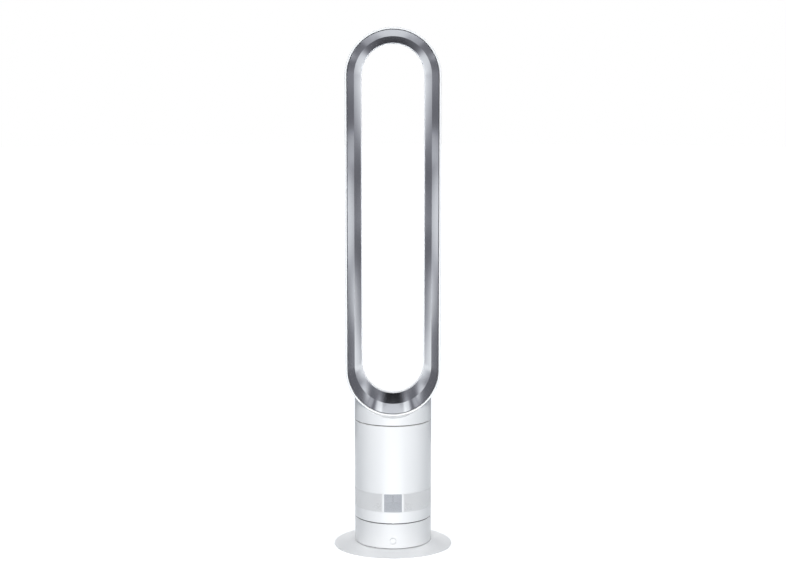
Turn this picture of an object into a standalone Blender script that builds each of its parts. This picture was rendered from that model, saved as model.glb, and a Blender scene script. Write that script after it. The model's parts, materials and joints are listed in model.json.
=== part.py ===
"""Bladeless tower fan: a foot, a base with a button, a swivelling body and a twist-off loop.

Metres, +Z up, front towards -Y, origin on the floor under the middle of the foot.
"""
import math

import bmesh
import bpy
from mathutils import Matrix, Vector

for thing in list(bpy.data.objects):
    bpy.data.objects.remove(thing)

# ---------------------------------------------------------------- driving sizes
TOTAL_HEIGHT = 1.007
BODY_RADIUS = 0.0745
FOOT_RADIUS = 0.115
FOOT_TOP_Z = 0.0092
SWIVEL_SEAM_Z = 0.0591
SEAM_GAP = 0.0012
TOUCH = 0.0003
RUNNING = 0.0015

# loop
LOOP_WIDTH = 0.1816
LOOP_DEPTH = 0.110
LOOP_RISE = 0.0156
LOOP_WALL = 0.0025
RIM_WIDTH = 0.0035
RIM_BEAD = 0.004
RIM_CHAMFER = 0.001
CREASE_RADIUS = 0.0740
CREASE_DEPTH = 0.0374
THROAT_RADIUS = 0.0606
THROAT_DEPTH = 0.0825
NOZZLE_WALL = 0.002
NOZZLE_CURL = 0.003
NOZZLE_TIP_WALL = 0.0016
LIP_RADIUS = 0.0579
LIP_WALL = 0.0014
LIP_OVERLAP = 0.003
NOSE_DEPTH = 0.025
DUCT_HALF_WIDTH = 0.050
DUCT_FRONT = 0.040
DUCT_REAR = 0.035

# foot and base
FOOT_PLATE = 0.003
FOOT_FLAT_MARGIN = 0.0015
FOOT_RIM_Z = 0.0024
FOOT_RIM_LIFT = 0.0008
FOOT_SLOPE_POWER = 1.5
BALLAST_THICKNESS = 0.004
BALLAST_BORE = 0.030
FOOT_RING_INSET = 0.013
FOOT_RING_WIDTH = 0.008
HOUSING_WALL = 0.0025
HOUSING_CHAMFER = 0.0006
DECK_THICKNESS = 0.0025
WELL_CLEARANCE = 0.010
WELL_DEPTH = 0.0064
BEARING_INSET = 0.006
BEARING_WIDTH = 0.008
BEARING_HEIGHT = 0.003
BOSS_RADIUS = 0.004
BOSS_INSET = 0.0035
BOSS_ANGLES = (0, 120, 240)
SCREW_RADIUS = 0.0015
SCREW_HEAD_RADIUS = 0.0032
SCREW_HEAD = 0.0021
SMALL_SCREW_RADIUS = 0.0012
SMALL_HEAD_RADIUS = 0.0026
SMALL_HEAD = 0.0018
BASE_SCREW_LENGTH = 0.020
CHASSIS_INSET = 0.008
CHASSIS_PLATE = 0.002
STANDOFF_HEIGHT = 0.0054
STANDOFF_RADIUS = 0.0025
BOARD_THICKNESS = 0.0016
BOARD_LENGTH = 0.048
BOARD_WIDTH = 0.060
BOARD_INSET = 0.032
SOCKET_OUT = 0.014
SOCKET_LONG = 0.009
SOCKET_TALL = 0.0068
RELAY_OUT = 0.034
RELAY_SIDE = 0.018
RELAY_LONG = 0.013
RELAY_TALL = 0.012
CHIP_TALL = 0.003
CAPACITOR_RADIUS = 0.006

# power button and its switch
BUTTON_Z = 0.0249
BUTTON_RADIUS = 0.0057
BUTTON_CLEARANCE = 0.0004
BUTTON_PROUD = 0.0005
BUTTON_EDGE = 0.0003
BUTTON_FLANGE = 0.0019
BUTTON_FLANGE_THICKNESS = 0.0007
BUTTON_TRAVEL = 0.0008
SWITCH_SIZE = 0.007
SWITCH_DEPTH = 0.0035
PLUNGER_RADIUS = 0.0017
PLUNGER_GAP = 0.0009
BRACKET_WIDTH = 0.022
BRACKET_THICKNESS = 0.002
BRACKET_MARGIN = 0.001
SWITCH_BOARD_WIDTH = 0.018
RECEIVER_WIDTH = 0.005
RECEIVER_DEPTH = 0.003

# cord gland
GLAND_Z = 0.0212
GLAND_BORE = 0.0036
GLAND_NECK = 0.0057
GLAND_FLANGE = 0.0085
GLAND_FLANGE_THICKNESS = 0.002
GLAND_BOOT = 0.006
GLAND_CHAMFER = 0.0006
GLAND_TAPER = 0.001

# swivel drive
PIVOT_RADIUS = 0.009
PIVOT_BORE = 0.0065
PIVOT_FLANGE_RADIUS = 0.015
PIVOT_FLANGE = 0.002
PIVOT_GROOVE_RADIUS = 0.0079
PIVOT_TOP_EXTRA = 0.002
CLIP_THICKNESS = 0.0016
CLIP_RADIUS = 0.013
CLIP_MOUTH = 40
HUB_RADIUS = 0.013
TURNTABLE_DROP = 0.007
TURNTABLE_PLATE = 0.0025
TURNTABLE_WALL = 0.0025
TURNTABLE_RISE = 0.0092
GEAR_MODULE = 0.001
GEAR_TEETH = 56
PINION_TEETH = 16
GEAR_HEIGHT = 0.0055
GEAR_BACKLASH = 0.0002
GEAR_ADDENDUM = 0.9
GEAR_DEDENDUM = 1.25
PRESSURE_ANGLE = 20
SECTOR_TEETH = 15
GEAR_SCREW_CIRCLE = 0.020
GEAR_SCREW_ANGLES = (155, 205)
PINION_SHAFT_RADIUS = 0.0025
DRIVE_MOTOR_RADIUS = 0.025
DRIVE_MOTOR_HEIGHT = 0.018
DRIVE_EAR_REACH = 0.031
DRIVE_EAR_THICKNESS = 0.0025
DRIVE_EAR_WIDTH = 0.009

# body casing and intake
CASING_WALL = 0.0022
CASING_FOOT_WALL = 0.0037
LEDGE_WIDTH = 0.0028
LEDGE_HEIGHT = 0.002
INTAKE_RISE = 0.0231
INTAKE_HEIGHT = 0.0351
GRILLE_THICKNESS = 0.0012
INTAKE_WALL = 0.002
WINDOW_MARGIN = 0.002
PILLARS_A_SIDE = 4
FRONT_PANEL_ANGLE = 16
PILLAR_SPACING = 48
PILLAR_ANGLE = 6
SLOT_PITCH = 12
SLOT_WIDTH = 0.008
SLOT_MARGIN = 0.0035
CASING_SCREW_LENGTH = 0.0036
CASING_SCREW_ANGLES = (30, 150, 270)
FOAM_HEIGHT = 0.0068
FOAM_BORE = 0.016
FOAM_CLEARANCE = 0.005

# air path
INLET_RISE = 0.0065
INLET_NARROWING = 0.0122
INLET_THROAT_RISE = 0.011
INLET_SEAL_HEIGHT = 0.003
DUCT_INSET = 0.0103
DUCT_WALL = 0.002
BLADE_COUNT = 9
BLADE_THICKNESS = 0.0015
BLADE_SWEEP = -50
BLADE_TIP_GAP = 0.001
HUB_NOSE_RADIUS = 0.008
HUB_RISE = 0.010
HUB_HEIGHT = 0.028
HUB_RIM = 0.002
INLET_BLADE_SPAN = 0.0338
OUTLET_BLADE_SPAN = 0.020
NUT_HEIGHT = 0.005
NUT_RADIUS = 0.005
NUT_CAP = 0.0015
MOTOR_SHAFT_RADIUS = 0.0025
MOTOR_RADIUS = 0.028
MOTOR_HEIGHT = 0.0232
CUP_WALL = 0.002
CUP_HEIGHT = 0.0315
VANE_COUNT = 8
VANE_THICKNESS = 0.0016
VANE_SWEEP = -30
VANE_RISE = 0.0035
VANE_HEIGHT = 0.026
NOSE_HEIGHT = 0.024
NOSE_WALL = 0.0018
BRACKET_HEIGHT = 0.003
MOUNT_HEIGHT = 0.0044
MOUNT_RADIUS = 0.0022
EAR_HEIGHT = 0.0025
SUSPENSION_ANGLES = (30, 150, 270)
SUSPENSION_SPREAD = 5
GAITER_HEIGHT = 0.0211
SOCKET_HEIGHT = 0.0205
SOCKET_WALL = 0.004
SOCKET_FLOOR = 0.003
SOCKET_FLOOR_WIDTH = 0.010
GAITER_WALL = 0.0015
LEAD_RADIUS = 0.0015
LEAD_ENTRY_RADIUS = 0.005

# twist lock
LOCK_COUNT = 3
LOCK_START = 45
LUG_ANGLE = 16
LUG_DROP = 0.008
LUG_HEIGHT = 0.003
HOOK_OVERLAP = 1
HOOK_REACH = 0.008
HOOK_HEIGHT = 0.0025
HOOK_GAP = 0.0005
HOOK_ANGLE = 21
STOP_ANGLE = 3
RING_FLANGE = 0.003
SKIRT_CLEARANCE = 0.008
SKIRT_WALL = 0.003
RING_FLANGE_WIDTH = 0.0167
LUG_CLEARANCE = 0.001
RING_SCREW_INSET = 0.0057
RING_SCREW_ANGLES = (0, 120, 240)
RING_BOSS_RADIUS = 0.004
RING_SCREW_LENGTH = 0.010

# facets
ROUND_SIDES = 32
SMALL_SIDES = 20
PIN_SIDES = 8
ARC_STEPS = 16
NOSE_STEPS = 6
CONE_STEPS = 5
FOOT_STEPS = 5
CURL_STEPS = 3
CUTTER_MARGIN = 0.0015

# ---------------------------------------------------------------- derived places
def flat_inside(radius, half_width):
    """How far from the axis a flat disc fits inside a faceted ring, with the touching gap."""
    return math.sqrt((radius * math.cos(math.pi / ROUND_SIDES))**2 - half_width**2) - TOUCH


BODY_INNER = BODY_RADIUS - HOUSING_WALL
CASING_INNER = BODY_RADIUS - CASING_WALL

# foot and base
FOOT_FLAT_RADIUS = BODY_RADIUS + FOOT_FLAT_MARGIN
FOOT_RING_RADIUS = FOOT_RADIUS - FOOT_RING_INSET
FOOT_UNDERSIDE_Z = FOOT_TOP_Z - FOOT_PLATE
BALLAST_LOW_Z = FOOT_UNDERSIDE_Z - TOUCH - BALLAST_THICKNESS
BASE_LOW_Z = FOOT_TOP_Z + TOUCH
BASE_TOP_Z = SWIVEL_SEAM_Z - SEAM_GAP / 2
BOSS_CIRCLE = BODY_INNER - BOSS_INSET
CHASSIS_RADIUS = BODY_INNER - CHASSIS_INSET
CHASSIS_TOP_Z = BASE_LOW_Z + CHASSIS_PLATE
BOARD_X = CHASSIS_RADIUS - BOARD_INSET
BOARD_Z = CHASSIS_TOP_Z + STANDOFF_HEIGHT + TOUCH

# swivel drive
TURNTABLE_Z = SWIVEL_SEAM_Z - TURNTABLE_DROP
PLATE_TOP_Z = TURNTABLE_Z + TURNTABLE_PLATE
TURNTABLE_TOP_Z = PLATE_TOP_Z + TURNTABLE_RISE
TURNTABLE_RADIUS = BODY_RADIUS - CASING_FOOT_WALL - TOUCH
BEARING_OUTER = BODY_INNER - BEARING_INSET
BEARING_INNER = BEARING_OUTER - BEARING_WIDTH
BEARING_LOW_Z = TURNTABLE_Z - TOUCH - BEARING_HEIGHT
SHELF_Z = BEARING_LOW_Z - TOUCH
GEAR_PITCH = GEAR_MODULE * GEAR_TEETH / 2
PINION_PITCH = GEAR_MODULE * PINION_TEETH / 2
PINION_X = -(GEAR_PITCH + PINION_PITCH)
GEAR_LOW_Z = TURNTABLE_Z - TOUCH - GEAR_HEIGHT
WELL_RADIUS = GEAR_PITCH + 2 * PINION_PITCH + WELL_CLEARANCE
WELL_FLOOR_Z = SHELF_Z - WELL_DEPTH
WELL_UNDERSIDE_Z = WELL_FLOOR_Z - DECK_THICKNESS
DRIVE_MOTOR_TOP_Z = WELL_UNDERSIDE_Z - TOUCH

# power button and its switch
BUTTON_FACE_Y = -(BODY_RADIUS + BUTTON_PROUD)
BUTTON_FLANGE_RADIUS = BUTTON_RADIUS + BUTTON_FLANGE
BUTTON_FLANGE_Y = -flat_inside(BODY_INNER, BUTTON_FLANGE_RADIUS)
PLUNGER_Y = BUTTON_FLANGE_Y + BUTTON_FLANGE_THICKNESS + TOUCH
PLUNGER_LENGTH = PLUNGER_GAP + SWITCH_DEPTH / 2 - BUTTON_TRAVEL
SWITCH_FRONT_Y = PLUNGER_Y + PLUNGER_GAP
SWITCH_BOARD_Y = SWITCH_FRONT_Y + SWITCH_DEPTH + TOUCH
BRACKET_Y = SWITCH_BOARD_Y + BOARD_THICKNESS + TOUCH
RECEIVER_LOW_Z = BUTTON_Z + SWITCH_SIZE / 2 + RUNNING
BRACKET_TOP_Z = RECEIVER_LOW_Z + RECEIVER_WIDTH + BRACKET_MARGIN

# body casing and intake
CASING_LOW_Z = SWIVEL_SEAM_Z + SEAM_GAP / 2
INTAKE_LOW_Z = SWIVEL_SEAM_Z + INTAKE_RISE
INTAKE_HIGH_Z = INTAKE_LOW_Z + INTAKE_HEIGHT
RECESS_INNER = BODY_RADIUS - GRILLE_THICKNESS - TOUCH
INTAKE_INNER = RECESS_INNER - INTAKE_WALL

# air path
HOUSING_OUTLET = CASING_INNER - DUCT_INSET
HOUSING_FLANGE = HOUSING_OUTLET + DUCT_WALL
DIFFUSER_RADIUS = HOUSING_FLANGE + DUCT_WALL
INLET_Z = INTAKE_HIGH_Z + INLET_RISE
INLET_LIP = HOUSING_OUTLET
INLET_THROAT = INLET_LIP - INLET_NARROWING
HUB_LOW_Z = INLET_Z + HUB_RISE
HUB_HIGH_Z = HUB_LOW_Z + HUB_HEIGHT
HUB_LOW_RADIUS = INLET_THROAT - INLET_BLADE_SPAN
HUB_HIGH_RADIUS = HOUSING_OUTLET - OUTLET_BLADE_SPAN
HOUSING_TOP_Z = HUB_HIGH_Z + 2 * HUB_RIM
CUP_FLOOR_Z = HOUSING_TOP_Z + TOUCH
CUP_TOP_Z = CUP_FLOOR_Z + CUP_HEIGHT
CUP_RADIUS = MOTOR_RADIUS + TOUCH + CUP_WALL
MOTOR_LOW_Z = CUP_FLOOR_Z + CUP_WALL + TOUCH
VANE_LOW_Z = CUP_FLOOR_Z + VANE_RISE
VANE_HIGH_Z = VANE_LOW_Z + VANE_HEIGHT
BRACKET_Z = CUP_TOP_Z
BRACKET_TOP = BRACKET_Z + BRACKET_HEIGHT
MOUNT_LOW_Z = BRACKET_TOP + TOUCH
EAR_LOW_Z = MOUNT_LOW_Z + MOUNT_HEIGHT + TOUCH
DIFFUSER_TOP_Z = EAR_LOW_Z + EAR_HEIGHT
SUSPENSION_CIRCLE = (DIFFUSER_RADIUS + CASING_INNER) / 2
LEAD_RISER = (DIFFUSER_RADIUS + INTAKE_INNER) / 2
LEAD_ENTRY_Z = (VANE_LOW_Z + VANE_HIGH_Z) / 2
LEAD_JOIN_Z = (WELL_FLOOR_Z + PLATE_TOP_Z) / 2

# twist lock
GAITER_LOW_Z = DIFFUSER_TOP_Z + TOUCH
SOCKET_LEDGE_Z = GAITER_LOW_Z + GAITER_HEIGHT
SOCKET_LOW_Z = SOCKET_LEDGE_Z + TOUCH
SOCKET_TOP_Z = SOCKET_LOW_Z + SOCKET_HEIGHT
CASING_TOP_Z = SOCKET_TOP_Z + TOUCH
LOOP_SEAM_Z = CASING_TOP_Z + SEAM_GAP / 2
SOCKET_FLOOR_Z = SOCKET_LOW_Z + SOCKET_FLOOR
SOCKET_RADIUS = CASING_INNER - TOUCH
SOCKET_INNER = SOCKET_RADIUS - SOCKET_WALL
SOCKET_BORE = SOCKET_INNER - SOCKET_FLOOR_WIDTH
LUG_Z = SOCKET_TOP_Z - LUG_DROP
HOOK_Z = LUG_Z + LUG_HEIGHT + HOOK_GAP
COLLAR_LOW_Z = LOOP_SEAM_Z + SEAM_GAP / 2
RING_LOW_Z = COLLAR_LOW_Z + TOUCH
RING_TOP_Z = RING_LOW_Z + RING_FLANGE
RING_RADIUS = BODY_INNER - TOUCH
RING_BORE = RING_RADIUS - RING_FLANGE_WIDTH
RING_SCREW_CIRCLE = RING_RADIUS - RING_SCREW_INSET
SKIRT_RADIUS = SOCKET_INNER - SKIRT_CLEARANCE
LUG_RADIUS = SOCKET_INNER - LUG_CLEARANCE

# loop
LOOP_RADIUS = LOOP_WIDTH / 2
LOOP_FRONT_Y = -LOOP_DEPTH / 2
NOSE_Y = LOOP_DEPTH / 2 - NOSE_DEPTH
LOOP_LOW_CENTRE = LOOP_SEAM_Z + LOOP_RISE + LOOP_RADIUS
LOOP_HIGH_CENTRE = TOTAL_HEIGHT - LOOP_RADIUS
SCOOP_RADIUS = LOOP_RADIUS + TOUCH


# ---------------------------------------------------------------- helpers
def collection(name):
    group = bpy.data.collections.new(name)
    bpy.context.scene.collection.children.link(group)
    return group


PARTS = collection("tower_fan")
CUTTERS = collection("cutters")


def material(name, colour, roughness, metallic=0.0):
    made = bpy.data.materials.new(name)
    made.use_nodes = True
    shader = made.node_tree.nodes["Principled BSDF"]
    shader.inputs["Base Color"].default_value = (*colour, 1.0)
    shader.inputs["Roughness"].default_value = roughness
    shader.inputs["Metallic"].default_value = metallic
    return made


WHITE = material("white_shell", (0.86, 0.87, 0.88), 0.3)
SILVER = material("silver_coat", (0.55, 0.56, 0.59), 0.28, 0.9)
GREY = material("intake_grey", (0.62, 0.63, 0.66), 0.45)
DARK = material("dark_plastic", (0.05, 0.05, 0.055), 0.5)
NATURAL = material("acetal", (0.8, 0.79, 0.74), 0.4)
RUBBER = material("rubber", (0.04, 0.04, 0.04), 0.8)
STEEL = material("steel", (0.6, 0.6, 0.6), 0.35, 1.0)
IRON = material("ballast_iron", (0.12, 0.12, 0.13), 0.6, 1.0)
BOARD = material("circuit_board", (0.03, 0.16, 0.07), 0.5)
FOAM = material("foam", (0.1, 0.1, 0.11), 0.95)


def empty(name, location, parent=None):
    made = bpy.data.objects.new(name, None)
    made.location = location
    made.parent = parent
    PARTS.objects.link(made)
    return made


def place(name, mesh, paint, parent=None, location=(0, 0, 0), direction=(0, 0, 1)):
    """Link a mesh as a part, or as a hidden cutter where it has no paint."""
    made = bpy.data.objects.new(name, mesh)
    made.parent = parent
    made.location = location
    made.rotation_euler = Vector((0, 0, 1)).rotation_difference(Vector(direction)).to_euler()
    if paint:
        mesh.materials.append(paint)
        PARTS.objects.link(made)
        return made
    CUTTERS.objects.link(made)
    made.hide_render = True
    made.display_type = "WIRE"
    return made


def evaluated_mesh(thing):
    """The mesh that an object's modifiers or curve make, welded and facing out, in world space."""
    bpy.context.view_layer.update()
    graph = bpy.context.evaluated_depsgraph_get()
    mesh = bpy.data.meshes.new_from_object(thing.evaluated_get(graph))
    mesh.transform(thing.matrix_world)
    shape = bmesh.new()
    shape.from_mesh(mesh)
    bmesh.ops.remove_doubles(shape, verts=shape.verts, dist=1e-6)
    bmesh.ops.recalc_face_normals(shape, faces=shape.faces)
    shape.to_mesh(mesh)
    shape.free()
    mesh.shade_smooth()
    mesh.set_sharp_from_angle(angle=math.radians(30))
    bpy.data.objects.remove(thing)
    return mesh


def modify(thing, other, operation):
    step = thing.modifiers.new(other.name, "BOOLEAN")
    step.operation = operation
    step.object = other


def cut(thing, *cutters):
    for cutter in cutters:
        modify(thing, cutter, "DIFFERENCE")


def join(thing, *pieces):
    for piece in pieces:
        modify(thing, piece, "UNION")


def turned(name, outline, paint, parent=None, sides=ROUND_SIDES, location=(0, 0, 0), direction=(0, 0, 1)):
    """Turn a (radius, height) outline about its own vertical axis."""
    following = outline[1:] + outline[:1]
    area = sum(a[0] * b[1] - b[0] * a[1] for a, b in zip(outline, following))
    if area > 0:
        outline = outline[::-1]
    start = next((i for i, point in enumerate(outline) if point[0] == 0 and outline[i - 1][0] == 0), None)
    if start is not None:
        outline = outline[start:] + outline[:start]
    links = [(i, i + 1) for i in range(len(outline) - 1)]
    if start is None:
        links.append((len(outline) - 1, 0))
    profile = bpy.data.meshes.new(name)
    profile.from_pydata([(radius, 0, height) for radius, height in outline], links, [])
    made = bpy.data.objects.new(name, profile)
    CUTTERS.objects.link(made)
    spin = made.modifiers.new("turn", "SCREW")
    spin.steps = sides
    spin.render_steps = sides
    spin.use_merge_vertices = True
    spin.merge_threshold = 0.00001
    return place(name, evaluated_mesh(made), paint, parent, location, direction)


def tube(inner, outer, low, high):
    return [(inner, low), (inner, high), (outer, high), (outer, low)]


def drum(radius, low, high):
    return [(0, low), (0, high), (radius, high), (radius, low)]


def block(name, low, high, paint=None, parent=None, location=(0, 0, 0)):
    mesh = bpy.data.meshes.new(name)
    shape = bmesh.new()
    bmesh.ops.create_cube(shape, size=1)
    size = Vector(high) - Vector(low)
    middle = (Vector(high) + Vector(low)) / 2
    bmesh.ops.scale(shape, vec=size, verts=shape.verts)
    bmesh.ops.translate(shape, vec=middle, verts=shape.verts)
    shape.to_mesh(mesh)
    shape.free()
    return place(name, mesh, paint, parent, location)


def rod(name, radius, length, start, direction=(0, 0, 1), paint=None, parent=None, sides=PIN_SIDES):
    """A cylinder that starts at a point and runs along a direction."""
    mesh = bpy.data.meshes.new(name)
    shape = bmesh.new()
    rise = Matrix.Translation((0, 0, length / 2))
    bmesh.ops.create_cone(
        shape, cap_ends=True, segments=sides, radius1=radius, radius2=radius, depth=length, matrix=rise
    )
    shape.to_mesh(mesh)
    shape.free()
    return place(name, mesh, paint, parent, start, direction)


def extruded(name, outline, low, high, paint=None, parent=None, holes=(), upright=False, location=(0, 0, 0)):
    """A flat outline in (x, y) raised from low to high, or in (x, z) running back along Y."""
    curve = bpy.data.curves.new(name, "CURVE")
    curve.dimensions = "2D"
    curve.fill_mode = "BOTH"
    curve.extrude = (high - low) / 2
    for points in (outline, *holes):
        spline = curve.splines.new("POLY")
        spline.points.add(len(points) - 1)
        for target, (x, y) in zip(spline.points, points):
            target.co = (x, y, 0, 1)
        spline.use_cyclic_u = True
    made = bpy.data.objects.new(name, curve)
    CUTTERS.objects.link(made)
    if upright:
        made.rotation_euler.x = math.pi / 2
        made.location.y = (low + high) / 2
    else:
        made.location.z = (low + high) / 2
    return place(name, evaluated_mesh(made), paint, parent, location)


def polar(radius, degrees):
    angle = math.radians(degrees)
    return (radius * math.cos(angle), radius * math.sin(angle))


def arc(radius, first, last, steps):
    return [polar(radius, first + (last - first) * step / steps) for step in range(steps + 1)]


def sector(inner, outer, first, last, step_angle=360 / ROUND_SIDES):
    """Outline of a piece of a flat ring, between two angles in degrees."""
    steps = max(1, math.ceil(abs(last - first) / step_angle))
    return arc(outer, first, last, steps) + arc(inner, last, first, steps)


def screw(name, shank, head_radius, head, length, parent, location, direction=(0, 0, 1)):
    """A flat-topped screw, its head's face at the location."""
    outline = [
        (0, 0),
        (head_radius, 0),
        (head_radius, head),
        (shank, head),
        (shank, head + length),
        (0, head + length),
    ]
    return turned(name, outline, STEEL, parent, PIN_SIDES, location, direction)


def lead(name, route, parent):
    """A round wire on a smooth curve through the route's points."""
    curve = bpy.data.curves.new(name, "CURVE")
    curve.dimensions = "3D"
    curve.bevel_depth = LEAD_RADIUS
    curve.bevel_resolution = 2
    curve.use_fill_caps = True
    spline = curve.splines.new("POLY")
    points = smooth(route)
    spline.points.add(len(points) - 1)
    for target, point in zip(spline.points, points):
        target.co = (*point, 1)
    made = bpy.data.objects.new(name, curve)
    CUTTERS.objects.link(made)
    return place(name, evaluated_mesh(made), RUBBER, parent)


def smooth(route, steps=2):
    """Points on a Catmull-Rom curve through the route."""
    ends = [route[0], *route, route[-1]]
    spots = [Vector(point) for point in ends]
    found = []
    for before, start, end, after in zip(spots, spots[1:], spots[2:], spots[3:]):
        for step in range(steps):
            t = step / steps
            across = (end - before) * t + (2 * before - 5 * start + 4 * end - after) * t**2
            found.append(start + (across + (3 * start - before - 3 * end + after) * t**3) / 2)
    return found + [spots[-1]]


# ---------------------------------------------------------------- frames
base_frame = empty("base_frame", (0, 0, 0))
swivel_axis = empty("swivel_axis", (0, 0, 0), base_frame)
pinion_axis = empty("pinion_axis", (PINION_X, 0, 0), base_frame)
button_axis = empty("button_axis", (0, 0, BUTTON_Z), base_frame)
impeller_axis = empty("impeller_axis", (0, 0, 0), swivel_axis)
loop_axis = empty("loop_axis", (0, 0, 0), swivel_axis)


# ---------------------------------------------------------------- foot
def foot_slope(radius, crown, rim):
    """The dome's height at a radius: level under the housing, then falling ever faster to the rim."""
    share = max(0, radius - FOOT_FLAT_RADIUS) / (FOOT_RADIUS - FOOT_FLAT_RADIUS)
    return crown - (crown - rim) * share**FOOT_SLOPE_POWER


def make_foot():
    slope_width = FOOT_RADIUS - FOOT_FLAT_RADIUS
    radii = [FOOT_FLAT_RADIUS + slope_width * step / FOOT_STEPS for step in range(FOOT_STEPS + 1)]
    top = [(radius, foot_slope(radius, FOOT_TOP_Z, FOOT_RIM_Z)) for radius in radii]
    underside = [(radius, foot_slope(radius, FOOT_UNDERSIDE_Z, FOOT_RIM_LIFT)) for radius in reversed(radii)]
    disc = turned("base_disc", [(0, FOOT_UNDERSIDE_Z), (0, FOOT_TOP_Z), *top, *underside], WHITE, base_frame)
    ballast = turned(
        "ballast_plate",
        tube(BALLAST_BORE, FOOT_FLAT_RADIUS, BALLAST_LOW_Z, BALLAST_LOW_Z + BALLAST_THICKNESS),
        IRON,
        base_frame,
    )
    ring_inner = FOOT_RING_RADIUS - FOOT_RING_WIDTH / 2
    ring_outer = FOOT_RING_RADIUS + FOOT_RING_WIDTH / 2
    seat = []
    for radius in (ring_inner, ring_outer):
        seat.append((radius, foot_slope(radius, FOOT_UNDERSIDE_Z, FOOT_RIM_LIFT) - TOUCH))
    turned("foot_ring", [(ring_inner, 0), *seat, (ring_outer, 0)], RUBBER, base_frame)
    for number, angle in enumerate(BOSS_ANGLES, 1):
        x, y = polar(BOSS_CIRCLE, angle)
        through = SCREW_RADIUS + TOUCH
        cut(disc, rod(f"disc_hole_{number}", through, FOOT_TOP_Z * 2, (x, y, 0)))
        cut(ballast, rod(f"ballast_hole_{number}", SCREW_HEAD_RADIUS + TOUCH, FOOT_TOP_Z * 2, (x, y, 0)))
        head_z = FOOT_UNDERSIDE_Z - TOUCH - SCREW_HEAD
        screw(
            f"base_screw_{number}", SCREW_RADIUS, SCREW_HEAD_RADIUS, SCREW_HEAD, BASE_SCREW_LENGTH,
            base_frame,
            (x, y, head_z),
        )


# ---------------------------------------------------------------- base housing
def make_base_housing():
    shelf_low = SHELF_Z - DECK_THICKNESS
    well_outer = WELL_RADIUS + DECK_THICKNESS
    wire_hole = PIVOT_BORE + 2 * TOUCH
    housing = turned(
        "base_housing",
        [
            (BODY_RADIUS, BASE_TOP_Z),
            (BODY_RADIUS, BASE_LOW_Z + HOUSING_CHAMFER),
            (BODY_RADIUS - HOUSING_CHAMFER, BASE_LOW_Z),
            (BODY_INNER, BASE_LOW_Z),
            (BODY_INNER, shelf_low),
            (well_outer, shelf_low),
            (well_outer, WELL_UNDERSIDE_Z),
            (wire_hole, WELL_UNDERSIDE_Z),
            (wire_hole, WELL_FLOOR_Z),
            (WELL_RADIUS, WELL_FLOOR_Z),
            (WELL_RADIUS, SHELF_Z),
            (BODY_INNER, SHELF_Z),
            (BODY_INNER, BASE_TOP_Z),
        ],
        WHITE,
        base_frame,
    )
    boss_low = CHASSIS_TOP_Z + TOUCH
    boss_high = SHELF_Z - DECK_THICKNESS / 2
    screw_end = FOOT_UNDERSIDE_Z - TOUCH + BASE_SCREW_LENGTH
    for number, angle in enumerate(BOSS_ANGLES, 1):
        x, y = polar(BOSS_CIRCLE, angle)
        join(housing, rod(f"boss_{number}", BOSS_RADIUS, boss_high - boss_low, (x, y, boss_low)))
        bore_length = screw_end + RUNNING
        cut(housing, rod(f"boss_bore_{number}", SCREW_RADIUS + TOUCH, bore_length, (x, y, 0)))
    cut(
        housing,
        rod("button_hole", BUTTON_RADIUS + BUTTON_CLEARANCE, HOUSING_WALL * 3,
            (0, -BODY_INNER + HOUSING_WALL, BUTTON_Z), (0, -1, 0), sides=SMALL_SIDES),
        rod("gland_hole", GLAND_NECK + TOUCH, HOUSING_WALL * 3,
            (0, BODY_INNER - HOUSING_WALL, GLAND_Z), (0, 1, 0), sides=SMALL_SIDES),
        rod("pinion_hole", PINION_SHAFT_RADIUS + RUNNING, DECK_THICKNESS * 3,
            (PINION_X, 0, WELL_UNDERSIDE_Z - DECK_THICKNESS), sides=SMALL_SIDES),
    )
    for number, side in enumerate((-1, 1), 1):
        cut(housing, rod(f"drive_hole_{number}", SCREW_RADIUS + TOUCH, DECK_THICKNESS * 3,
                         (PINION_X, side * DRIVE_EAR_REACH, WELL_UNDERSIDE_Z - DECK_THICKNESS)))
    turned(
        "bearing_ring",
        tube(BEARING_INNER, BEARING_OUTER, BEARING_LOW_Z, BEARING_LOW_Z + BEARING_HEIGHT),
        NATURAL,
        base_frame,
    )


def make_chassis():
    chassis = turned("base_chassis", drum(CHASSIS_RADIUS, BASE_LOW_Z, CHASSIS_TOP_Z), DARK, base_frame)
    for number, angle in enumerate(BOSS_ANGLES, 1):
        x, y = polar(BOSS_CIRCLE, angle)
        pad_radius = BODY_INNER - BOSS_CIRCLE - TOUCH
        tab_low = (-BOSS_CIRCLE / 6, -pad_radius, BASE_LOW_Z)
        tab_high = (0, pad_radius, CHASSIS_TOP_Z)
        tab = block(f"tab_{number}", tab_low, tab_high, location=(x, y, 0))
        tab.rotation_euler.z = math.radians(angle)
        join(chassis, tab, rod(f"pad_{number}", pad_radius, CHASSIS_PLATE, (x, y, BASE_LOW_Z)))
        cut(chassis, rod(f"pad_hole_{number}", SCREW_RADIUS + TOUCH, CHASSIS_TOP_Z * 2, (x, y, 0)))
    inset = 2 * STANDOFF_RADIUS
    for number, (side, end) in enumerate(((-1, -1), (1, -1), (1, 1), (-1, 1)), 1):
        x = BOARD_X + side * (BOARD_LENGTH / 2 - inset)
        y = end * (BOARD_WIDTH / 2 - inset)
        root = CHASSIS_PLATE / 2
        foot = (x, y, CHASSIS_TOP_Z - root)
        join(chassis, rod(f"standoff_{number}", STANDOFF_RADIUS, STANDOFF_HEIGHT + root, foot))
    join(chassis, block(
        "bracket",
        (-BRACKET_WIDTH / 2, BRACKET_Y, BASE_LOW_Z + CHASSIS_PLATE / 2),
        (BRACKET_WIDTH / 2, BRACKET_Y + BRACKET_THICKNESS, BRACKET_TOP_Z),
    ))


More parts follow.
